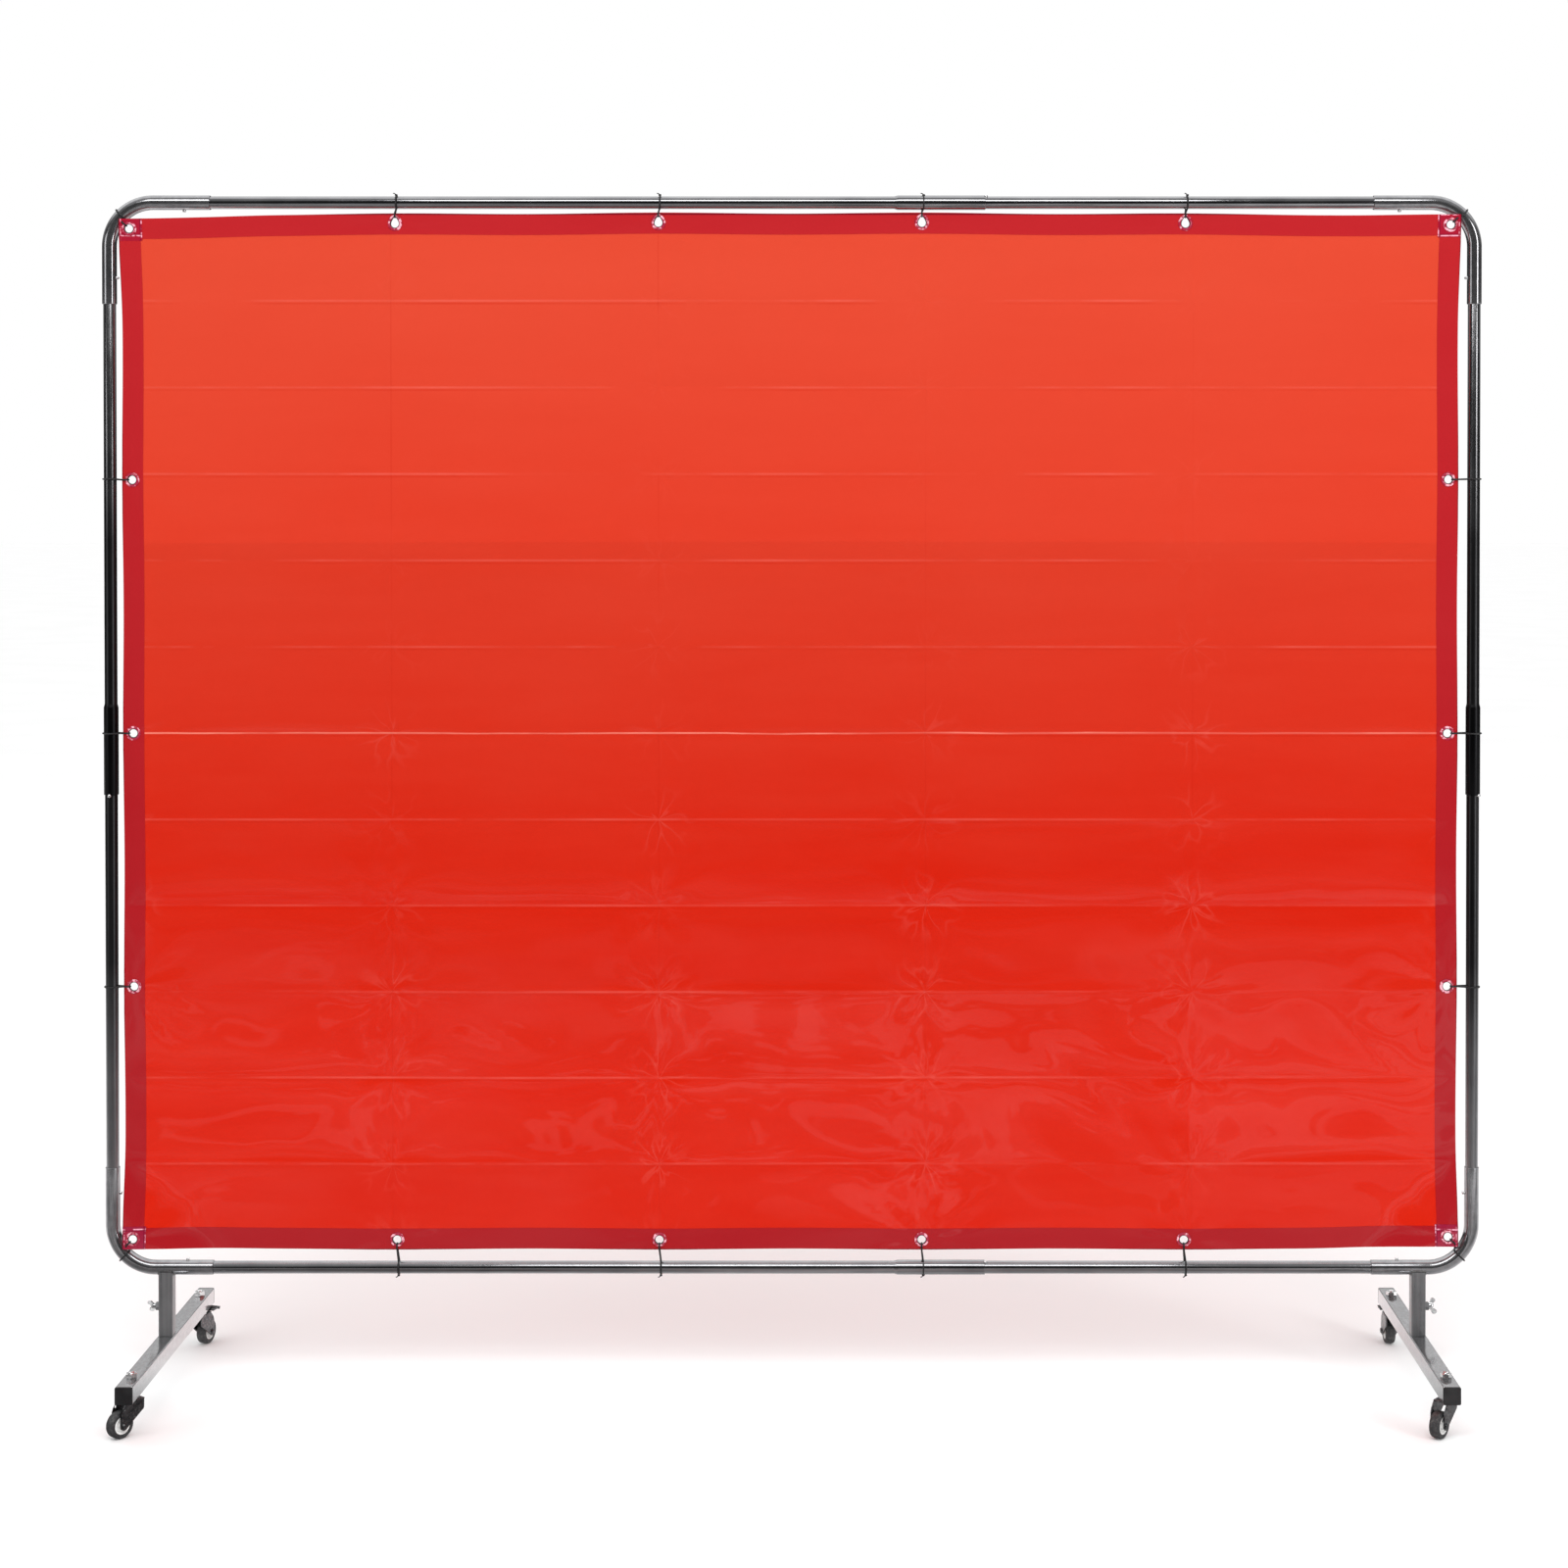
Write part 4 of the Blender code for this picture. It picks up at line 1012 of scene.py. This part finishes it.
def slab(name, columns, rows, wanted, thickness):
    """A thin closed sheet over the wanted cells of a grid, with a round hole at each eyelet in it."""
    number = {}
    flat = []
    faces = []

    def corner(x, z):
        key = (round(x, 6), round(z, 6))
        if key not in number:
            number[key] = len(flat)
            flat.append((x, z))
        return number[key]

    pierced = []
    for a, b in zip(columns, columns[1:]):
        for c, d in zip(rows, rows[1:]):
            x, z = (a + b) / 2, (c + d) / 2
            if not wanted(x, z):
                continue
            hole = next((h for h in EYELETS if abs(x - h[0]) < HOLE_CELL and abs(z - h[1]) < HOLE_CELL), None)
            if hole is None:
                faces.append((corner(a, c), corner(b, c), corner(b, d), corner(a, d)))
            elif hole not in pierced:
                pierced.append(hole)
    for ex, ez in pierced:
        marks = [HOLE_CELL * k / 3 for k in range(-3, 4)]
        border = [(m, -HOLE_CELL) for m in marks[:-1]] + [(HOLE_CELL, m) for m in marks[:-1]]
        border += [(-m, HOLE_CELL) for m in marks[:-1]] + [(-HOLE_CELL, -m) for m in marks[:-1]]
        rings = []
        for share in (0.0, 0.5, 1.0):
            ring = []
            for dx, dz in border:
                reach = math.hypot(dx, dz) / HOLE
                hx, hz = drawn_out(dx / reach, dz / reach, HOLE, pulled(ex, ez))
                ring.append(corner(ex + dx + share * (hx - dx), ez + dz + share * (hz - dz)))
            rings.append(ring)
        for outer, inner in zip(rings, rings[1:]):
            for i in range(len(border)):
                j = (i + 1) % len(border)
                faces.append((outer[i], outer[j], inner[j], inner[i]))

    points = [draped(x, z) for x, z in flat]
    front = [p + Vector((0, -thickness / 2, 0)) for p in points]
    back = [p + Vector((0, thickness / 2, 0)) for p in points]
    count = len(flat)
    solid = [tuple(face) for face in faces]
    solid += [tuple(count + i for i in face[::-1]) for face in faces]
    edges = dict.fromkeys(pair for face in faces for pair in zip(face, face[1:] + face[:1]))
    for i, j in edges:
        if (j, i) not in edges:
            solid.append((j, i, count + i, count + j))
    return from_points(name, front + back, solid, 50.0)


def build_curtain():
    xs = sorted({round(x, 5) for x, _ in EYELETS})
    zs = sorted({round(z, 5) for _, z in EYELETS})
    hem_x, hem_z = SHEET_HALF - HEM, (SHEET_BOTTOM + HEM, SHEET_TOP - HEM)
    patch_x, patch_z = SHEET_HALF - PATCH, (SHEET_BOTTOM + PATCH, SHEET_TOP - PATCH)
    columns = grid_lines(-SHEET_HALF, SHEET_HALF, FOLDS_ACROSS, xs, 0.014, (-hem_x, hem_x, -patch_x, patch_x))
    rows = grid_lines(SHEET_BOTTOM, SHEET_TOP, FOLDS_UP, zs, 0.013, hem_z + patch_z)
    sheet = slab("curtain_sheet", columns, rows, lambda x, z: True, FILM)
    sheet = show("curtain_sheet", sheet, "frame", "sheet", ["curtain"])

    def in_hem(x, z):
        return abs(x) > hem_x or not hem_z[0] < z < hem_z[1]

    def in_patch(x, z):
        return abs(x) > patch_x and not patch_z[0] < z < patch_z[1]

    hem = slab("hem", columns, rows, in_hem, HEM_THICKNESS)
    pieces = [show("curtain_hem", hem, "frame", "hem")]
    for side, sign in SIDES.items():
        for level, up in (("top", 1), ("bottom", -1)):

            def here(x, z, sign=sign, up=up):
                return in_patch(x, z) and x * sign > 0 and (z - SHEET_MIDDLE) * up > 0

            mesh = slab("patch", columns, rows, here, PATCH_THICKNESS)
            pieces.append(show(f"curtain_patch_{level}_{side}", mesh, "frame", "patch"))
    pieces += build_eyelets()
    holders = ["shown_top_tube_left", "shown_top_tube_right"]
    holders += ["shown_bottom_tube_left", "shown_bottom_tube_right"]


def eyelet_ring(drop):
    """A moulded ring on both faces of the hem, joined through the hole; drop draws out its upper half."""
    inner, outer, thick = RING_INNER, RING_OUTER, RING_THICKNESS
    upper = [(inner, thick * 0.5), (inner + 0.0007, thick * 0.92), (inner + 0.0016, thick)]
    upper += [(inner + 0.0026, thick * 0.78), (inner + 0.0034, thick * 0.72)]
    upper += [(outer - 0.0008, thick * 0.80), (outer, thick * 0.5)]
    mesh = turned("eyelet", upper + mirrored(upper), 48, loop=True, sharp=50)
    mesh.materials.append(LOOKS["eyelet"])
    mesh.materials.append(LOOKS["rim"])
    # Faces round the hole take the darker rim material: painted shade on the hole's wall.
    for face in mesh.polygons:
        reach = math.hypot(face.center.x, face.center.y)
        face.material_index = 1 if reach < inner + 0.0012 else 0
    for vertex in mesh.vertices:
        reach = math.hypot(vertex.co.x, vertex.co.y)
        amount = drop * (1 - 0.6 * (reach - inner) / (outer - inner))
        vertex.co.x, vertex.co.y = drawn_out(vertex.co.x, vertex.co.y, reach, amount)
    return mesh


def sheet_turn(x, z):
    """Rotation that lays a flat ring on the sheet at (x, z)."""
    step = 0.004
    across = draped(x + step, z) - draped(x - step, z)
    up = draped(x, z + step) - draped(x, z - step)
    normal = across.cross(up).normalized()
    return normal.to_track_quat("Z", "Y").to_matrix().to_4x4()


def tube_line(x, z):
    """The point of the frame's centreline nearest to an eyelet, and the way towards it."""
    level, up = (FRAME_TOP, 1) if z > SHEET_MIDDLE else (FRAME_BOTTOM, -1)
    side = math.copysign(1, x)
    at_side, at_level = at_edges(x, z)
    if at_side and at_level:
        middle = Vector((side * (HALF_WIDTH - BEND), 0, level - up * BEND))
        way = Vector((side, 0, up)).normalized()
        return middle + way * BEND, way
    if at_level:
        return Vector((x, 0, level)), Vector((0, 0, up))
    return Vector((side * HALF_WIDTH, 0, z)), Vector((side, 0, 0))


def cord_path(x, z):
    """A closed loop of thin cord: through the eyelet, up both faces of the hem and round the tube."""
    centre = draped(x, z)
    tube, way = tube_line(x, z)
    at_side, at_level = at_edges(x, z)
    on_socket = at_side and (at_level or abs(z - SHEET_MIDDLE) < 0.1)
    radius = (SOCKET if on_socket else TUBE) + 0.0013
    front = Vector((0, -1, 0))
    lift = 0.0042 if pulled(x, z) else 0.0
    points = [centre + way * (0.0066 + lift)]
    points.append(centre + way * (0.0100 + lift) + front * 0.0042)
    points.append(centre + way * (0.0165 + lift * 0.4) + front * 0.0032)
    for k in range(13):
        angle = math.radians(-62 + 236 * k / 12)
        points.append(tube + (front * math.cos(angle) + way * math.sin(angle)) * radius)
    points.append(centre + way * (0.0165 + lift * 0.4) - front * 0.0032)
    points.append(centre + way * (0.0100 + lift) - front * 0.0042)
    return points, tube, way, radius


def smooth_loop(points, steps=5):
    """Catmull-Rom points through a closed loop."""
    count = len(points)
    out = []
    for i in range(count):
        a, b, c, d = points[i - 1], points[i], points[(i + 1) % count], points[(i + 2) % count]
        bend, twist = 2 * a - 5 * b + 4 * c - d, 3 * b - a - 3 * c + d
        for k in range(steps):
            t = k / steps
            out.append(0.5 * (2 * b + (c - a) * t + bend * t * t + twist * t ** 3))
    return out


def rope(name, path, radius, side, loop=True):
    """A thin round cord along a path that lies near the plane across side."""
    rings = []
    count = len(path)
    for i, point in enumerate(path):
        before = path[i - 1] if loop or i else point
        after = path[(i + 1) % count] if loop or i + 1 < count else point
        tangent = (after - before).normalized()
        at_end = not loop and i in (0, count - 1)
        size = radius * (0.5 if at_end else 1.0)
        rings.append(ring_round(point, side, tangent.cross(side).normalized(), size))
    return skin(name, rings, loop=loop, sharp=80)


def build_eyelets():
    """Rings on the curtain and the ties that hold it to the frame."""
    made = []
    rings = {False: eyelet_ring(0.0), True: eyelet_ring(1.0)}
    for index, (x, z) in enumerate(EYELETS):
        centre = draped(x, z)
        points, tube, way, radius = cord_path(x, z)
        ring = moved(rings[pulled(x, z)], at(*centre) @ sheet_turn(x, z))
        made.append(show(f"eyelet_{index + 1:02d}", ring, "frame", None))
        side = way.cross(Vector((0, 1, 0))).normalized()
        cord = rope("tie", smooth_loop(points), CORD, side)
        tilt = math.radians(150 if abs(way.x) > 0.5 else 72)
        outward = Vector((0, -1, 0)) * math.cos(tilt) + way * math.sin(tilt)
        knot = tube + outward * (radius + 0.0004)
        humps = ((-0.0022, 0.0), (-0.0012, 0.0011), (0.0008, 0.0013), (0.0022, 0.0))
        lump = [knot + side * s + outward * lift for s, lift in humps]
        tail_way = (outward * 0.5 + side * (0.9 if index % 2 else -0.8)).normalized()
        tail = []
        for k in range(6):
            curl = 0.0006 + 0.0014 * math.sin(k * 0.6)
            tail.append(knot + outward * curl + tail_way * (0.0062 * k / 5))
        meshes = [cord, rope("knot", lump, 0.0016, outward.cross(side).normalized(), False)]
        meshes.append(rope("tail", tail, 0.0009, side.cross(tail_way).normalized(), False))
        show(f"tie_{index + 1:02d}", joined("tie", meshes), "frame", "tie")
    return made


# ---- feet and casters ----


def build_feet():
    """Beams with their bores, the stubs on them and their end caps."""
    end = FOOT_END - 0.003
    tube = moved(square_tube("beam", BEAM_SIZE / 2, BEAM_WALL, SQUARE_CORNER, -end, end), rotation(-90, "X"))
    bore = rod(STEM_BORE, -0.03, 0.03, 40)
    beam = combined("beam", tube, [("DIFFERENCE", bore, at(0, y, 0)) for y in (-STEM_Y, STEM_Y)])
    stub = square_tube("stub", STUB_HALF, WALL, 0.0022, BEAM_BOTTOM + BEAM_SIZE + 0.0003, STUB_TOP)
    # Half width, corner radius and depth of the cap's squares: dished face, flange, then the plug.
    squares = [(0.0118, 0.0024, 0.0003), (0.0128, 0.0026, 0.0001), (0.0138, 0.0028, 0.0)]
    squares += [(0.0146, 0.0028, 0.0002), (0.0149, 0.0028, 0.0006), (0.0150, 0.0028, 0.0012)]
    squares += [(0.0150, 0.0028, 0.0026), (0.0131, 0.0016, 0.0027), (0.0130, 0.0016, 0.017)]
    rings = [rounded_square(half, corner, FOOT_END - depth) for half, corner, depth in squares]
    cap = skin("cap", rings, sharp=40)
    for side, sign in SIDES.items():
        place = at(sign * FOOT_X, 0, BEAM_BOTTOM + BEAM_SIZE / 2)
        body = f"foot_{side}"
        show_node(f"foot_beam_{side}", moved(beam, place), body, "beam")
        show_node(f"foot_stub_{side}", moved(stub, at(sign * FOOT_X, 0, 0)), body, "beam")
        for which, angle in (("front", 90), ("rear", -90)):
            mesh = moved(cap, place @ rotation(angle, "X"))
            show_node(f"end_cap_{which}_{side}", mesh, body, "cap")


def tyre_mesh():
    """Solid rubber tyre with a rounded tread, a shallow rib at each shoulder and a seat on the hub."""
    half = 0.009
    upper = [(0.0153, half - 0.0006), (0.0160, half), (0.0186, half + 0.0002), (0.0194, half - 0.0003)]
    upper += [(0.0200, half - 0.0001), (0.0212, half - 0.0007), (0.0220, half - 0.0018)]
    upper += [(0.0224, half - 0.0034), (WHEEL, half - 0.0055), (WHEEL, 0.0012)]
    return turned("tyre", upper + mirrored(upper), 96, loop=True, sharp=28)


def hub_mesh():
    """Pale plastic hub: rim, recessed web with raised ribs on both faces, and boss."""
    half = 0.0084
    outer = [(0.0062, 0.0100), (0.0066, 0.0096), (0.0068, 0.0056), (0.0110, 0.0050), (0.0120, 0.0072)]
    outer += [(0.0126, half), (0.0146, half), (0.0150, half - 0.0005)]
    upper = [(0.0033, 0.0100)] + outer
    body = turned("hub", upper + mirrored(upper), 72, loop=True)
    ribs = []
    for i in range(5):
        rib = box("rib", (0.0062, 0.0016, 0.0134), (0.0093, 0, 0), 0.0005, 2)
        ribs.append(moved(rib, rotation(72 * i, "Z")))
    return combined("hub", body, [("UNION", rib, HERE) for rib in ribs])


def stem_mesh():
    """Threaded stem above its race, and the king pin's head below the crown."""
    profile = [(0.0030, 0.1058), (0.0044, 0.1055)]
    z = 0.1050
    while z > 0.1036:
        profile += [(0.0050, z), (0.0045, z - 0.00035)]
        z -= 0.0007
    profile += [(0.0050, 0.1032), (0.0050, 0.0647), (0.0104, 0.0647), (0.0116, 0.0642), (0.0120, 0.0630)]
    profile += [(0.0120, 0.0613), (0.0050, 0.0611), (0.0050, 0.0580), (0.0088, 0.0580), (0.0090, 0.0574)]
    profile += [(0.0080, 0.0555), (0.0030, 0.0555)]
    return turned("stem", profile, 48, sharp=30)


def fork_mesh():
    """Pressed fork: a flat crown, two tapering legs and the riveted axle."""
    upright = rotation(90, "X")
    crown = box("crown", (0.037, 0.0266, 0.0025), (0.0015, 0, 0.05955), 0.0009)
    leg = [(-0.0158, 0.0588), (-0.0160, 0.0560), (-0.0157, 0.0450), (-0.0142, 0.0420)]
    leg += arc((TRAIL, WHEEL), 0.0075, 213, 357, 18)
    leg += [(0.0310, 0.0300), (0.0302, 0.0420), (0.0280, 0.0480), (0.0235, 0.0545), (0.0188, 0.0588)]
    pin = [(TRAIL + a, PIN_HEIGHT + b) for a, b in arc((0, 0), 0.0023, 0, 345, 23)]
    side = plate("leg", [leg, pin], 0.0022)
    rivet = [(0.0014, 0.0160), (0.0034, 0.0158), (0.0046, 0.0150), (0.0051, 0.0140)]
    rivet += [(0.0051, 0.0129), (0.0030, 0.0129)]
    axle = turned("axle", rivet + mirrored(rivet), 32)
    king = rod(STEM_BORE, 0.050, 0.070)
    steps = [("UNION", side, at(0, y, 0) @ upright) for y in (0.0121, -0.0121)]
    steps.append(("UNION", axle, at(TRAIL, 0, WHEEL) @ upright))
    steps.append(("DIFFERENCE", king, HERE))
    return combined("fork", crown, steps)


def pedal_mesh():
    """Foot plate with a turned-down lip and grip ribs, on a cam and a pin."""
    plate_box = box("foot_plate", (0.026, 0.034, 0.0018), (0.034, 0, 0.0622), 0.0007)
    added = []
    for i in range(4):
        added.append(box("rib", (0.0014, 0.026, 0.0014), (0.0335 + 0.0036 * i, 0, 0.0631), 0.0004, 2))
    added.append(box("lip", (0.0018, 0.032, 0.0050), (0.0459, 0, 0.0602), 0.0007))
    added.append(box("cam", (0.006, 0.016, 0.0165), (TRAIL, 0, 0.0540), 0.0006))
    steps = [("UNION", mesh, HERE) for mesh in added]
    pin = turned("pin", [(0.0018, -0.0130), (0.0020, -0.0127), (0.0020, 0.0127), (0.0018, 0.0130)], 24)
    steps.append(("UNION", pin, at(TRAIL, 0, PIN_HEIGHT) @ rotation(90, "X")))
    return combined("pedal", plate_box, steps)


def build_casters():
    stem, fork, hub, tyre, pedal = stem_mesh(), fork_mesh(), hub_mesh(), tyre_mesh(), pedal_mesh()
    nut = hexagon_nut(across=0.017, thickness=0.008, bore=0.0052)
    for name, heading in HEADINGS.items():
        end, side = name.split("_")
        base = at(SIDES[side] * FOOT_X, STEM_Y if end == "rear" else -STEM_Y, 0)
        turn = base @ rotation(heading, "Z")
        axle = turn @ at(TRAIL, 0, WHEEL) @ rotation(90, "X")
        raised = base @ at(0, 0, NUT_MIDDLE) @ rotation(17, "Z")
        foot = f"foot_{side}"
        show_node("caster_stem_" + name, moved(stem, base), foot, "bright")
        show_node("stem_nut_" + name, moved(nut, raised), foot, "bright", 0.0002)
        show_node("caster_fork_" + name, moved(fork, turn), "caster_" + name, "fork", 0.0004)
        for node, mesh, look in (("wheel_hub_", hub, "hub"), ("wheel_tyre_", tyre, "tyre")):
            show_node(node + name, moved(mesh, axle), "wheel_" + name, look)
        if end == "rear":
            show_node("brake_pedal_" + name, moved(pedal, turn), "brake_" + name, "fork", 0.0002)


# ---- studio ----


def by_ray(tree, kind, first, second):
    """Shader first, or second for rays of one kind."""
    chosen = make(tree, "LightPath", {}).outputs[kind]
    return make(tree, "MixShader", {0: chosen, 1: first, 2: second}).outputs[0]


FLOOR_RADIUS = 90.0


def build_floor():
    """Pale painted floor, which the metal mirrors as a dimmer one."""
    look = Look("floor_paint", (0.93, 0.93, 0.93), roughness=0.8)
    look.set_all({"Specular IOR Level": 0.1})
    clouds = look.grain(1.3, 3.0).rise()
    look.paint(clouds, (0.925, 0.925, 0.925), (0.945, 0.945, 0.945))
    depth = look.along("Y")
    # Seen only in reflections: the dim floor's pale patches and sharp-edged bright spots are painted light
    # standing in for studio panels.
    patches = look.grain(1.1, 2.0).ranged(0.16, 0.50, 0.40, 0.66)
    around = depth.ranged(0.15, 1.0, -7.0, -3.0) * depth.ranged(1.0, 0.15, 4.0, 9.0)
    near = depth.ranged(0.0, 0.80, -0.15, 0.25) * depth.fall(2.2, 4.0)
    uneven = look.grain(1.9, 3.0, roughness=0.6, distortion=0.8) + look.along("X") * 0.035
    band = depth.rise(-5.0, -3.0) * depth.fall(-1.6, -1.1)
    tone = patches * around + near + uneven.ranged(0.0, 0.40, 0.535, 0.552) * band
    colour = look.pattern("CombineXYZ", 0, {"X": tone, "Y": tone, "Z": tone})
    dim = make(look.tree, "BsdfDiffuse", {"Color": colour}).outputs[0]
    surface = by_ray(look.tree, "Is Glossy Ray", look.shader.outputs[0], dim)
    look.tree.links.new(surface, look.tree.nodes["Material Output"].inputs["Surface"])
    mesh = bpy.data.meshes.new("floor")
    work = bmesh.new()
    bmesh.ops.create_circle(work, cap_ends=True, segments=96, radius=FLOOR_RADIUS)
    work.to_mesh(mesh)
    work.free()
    mesh.materials.append(look.material)
    floor = placed("floor", mesh)
    floor.location = (0, 0, -0.0005)


def area_light(name, place, target, size, power):
    light = bpy.data.lights.new(name, "AREA")
    light.shape = "RECTANGLE"
    light.size, light.size_y = size
    light.energy = power
    obj = placed(name, light)
    obj.location = place
    obj.rotation_euler = (Vector(target) - Vector(place)).to_track_quat("-Z", "Y").to_euler()
    obj.visible_camera = False
    obj.visible_transmission = False


def background(tree, strength):
    """White light of one strength from all round."""
    return make(tree, "Background", {"Color": (1, 1, 1, 1), "Strength": strength}).outputs[0]


def build_studio():
    """Even white light all round and three soft panels; the metal mirrors darker walls."""
    world = bpy.data.worlds.new("studio")
    bpy.context.scene.world = world
    world.use_nodes = True
    world.cycles.sampling_method = "NONE"
    tree = world.node_tree
    way = make(tree, "TexCoord", {}).outputs["Generated"]
    split = make(tree, "SeparateXYZ", {0: way}).outputs
    depth, height = Field(tree, split["Y"]), Field(tree, split["Z"])
    patches = make(tree, "TexNoise", {"Vector": way, "Scale": 4.5, "Detail": 1.5}).outputs["Fac"]
    spots = Field(tree, patches).ranged(0.15, 1.0, 0.42, 0.62)
    front = height.ranged(0.02, 0.17, 0.08, 0.35) * spots
    ceiling = height.rise(0.40, 0.62) * depth.ranged(0.35, 1.5, -0.35, 0.0)
    back = depth.ranged(0.0, 0.60, 0.05, 0.55) * height.ranged(0.05, 1.0, 0.10, 0.24)
    walls = background(tree, front + ceiling.most(back))
    white = background(tree, 1.0)
    surface = by_ray(tree, "Is Glossy Ray", background(tree, 1.08), walls)
    surface = by_ray(tree, "Is Transmission Ray", surface, white)
    surface = by_ray(tree, "Is Camera Ray", surface, white)
    tree.links.new(surface, tree.nodes["World Output"].inputs["Surface"])
    area_light("overhead", (-0.3, -3.4, 4.4), (0, 0, 1.1), (4.5, 1.2), 95)
    area_light("strip_right", (4.2, -3.4, 1.9), (0, 0, 1.1), (1.0, 3.4), 70)
    area_light("fill_left", (-4.6, -2.6, 1.7), (0, 0, 1.0), (1.8, 2.6), 26)


def build_camera():
    camera = bpy.data.cameras.new("camera")
    camera.lens = 61.0
    camera.sensor_width = 36.0
    camera.shift_x = -0.05
    camera.shift_y = -0.160
    obj = placed("camera", camera)
    obj.location = (0.124, -4.678, 1.575)
    obj.rotation_euler = (math.radians(90 - 0.77), 0, 0)
    bpy.context.scene.camera = obj
    bpy.context.scene.view_settings.view_transform = "Standard"


build_camera()
build_frame()
build_posts()
build_curtain()
build_feet()
build_casters()
build_floor()
build_studio()
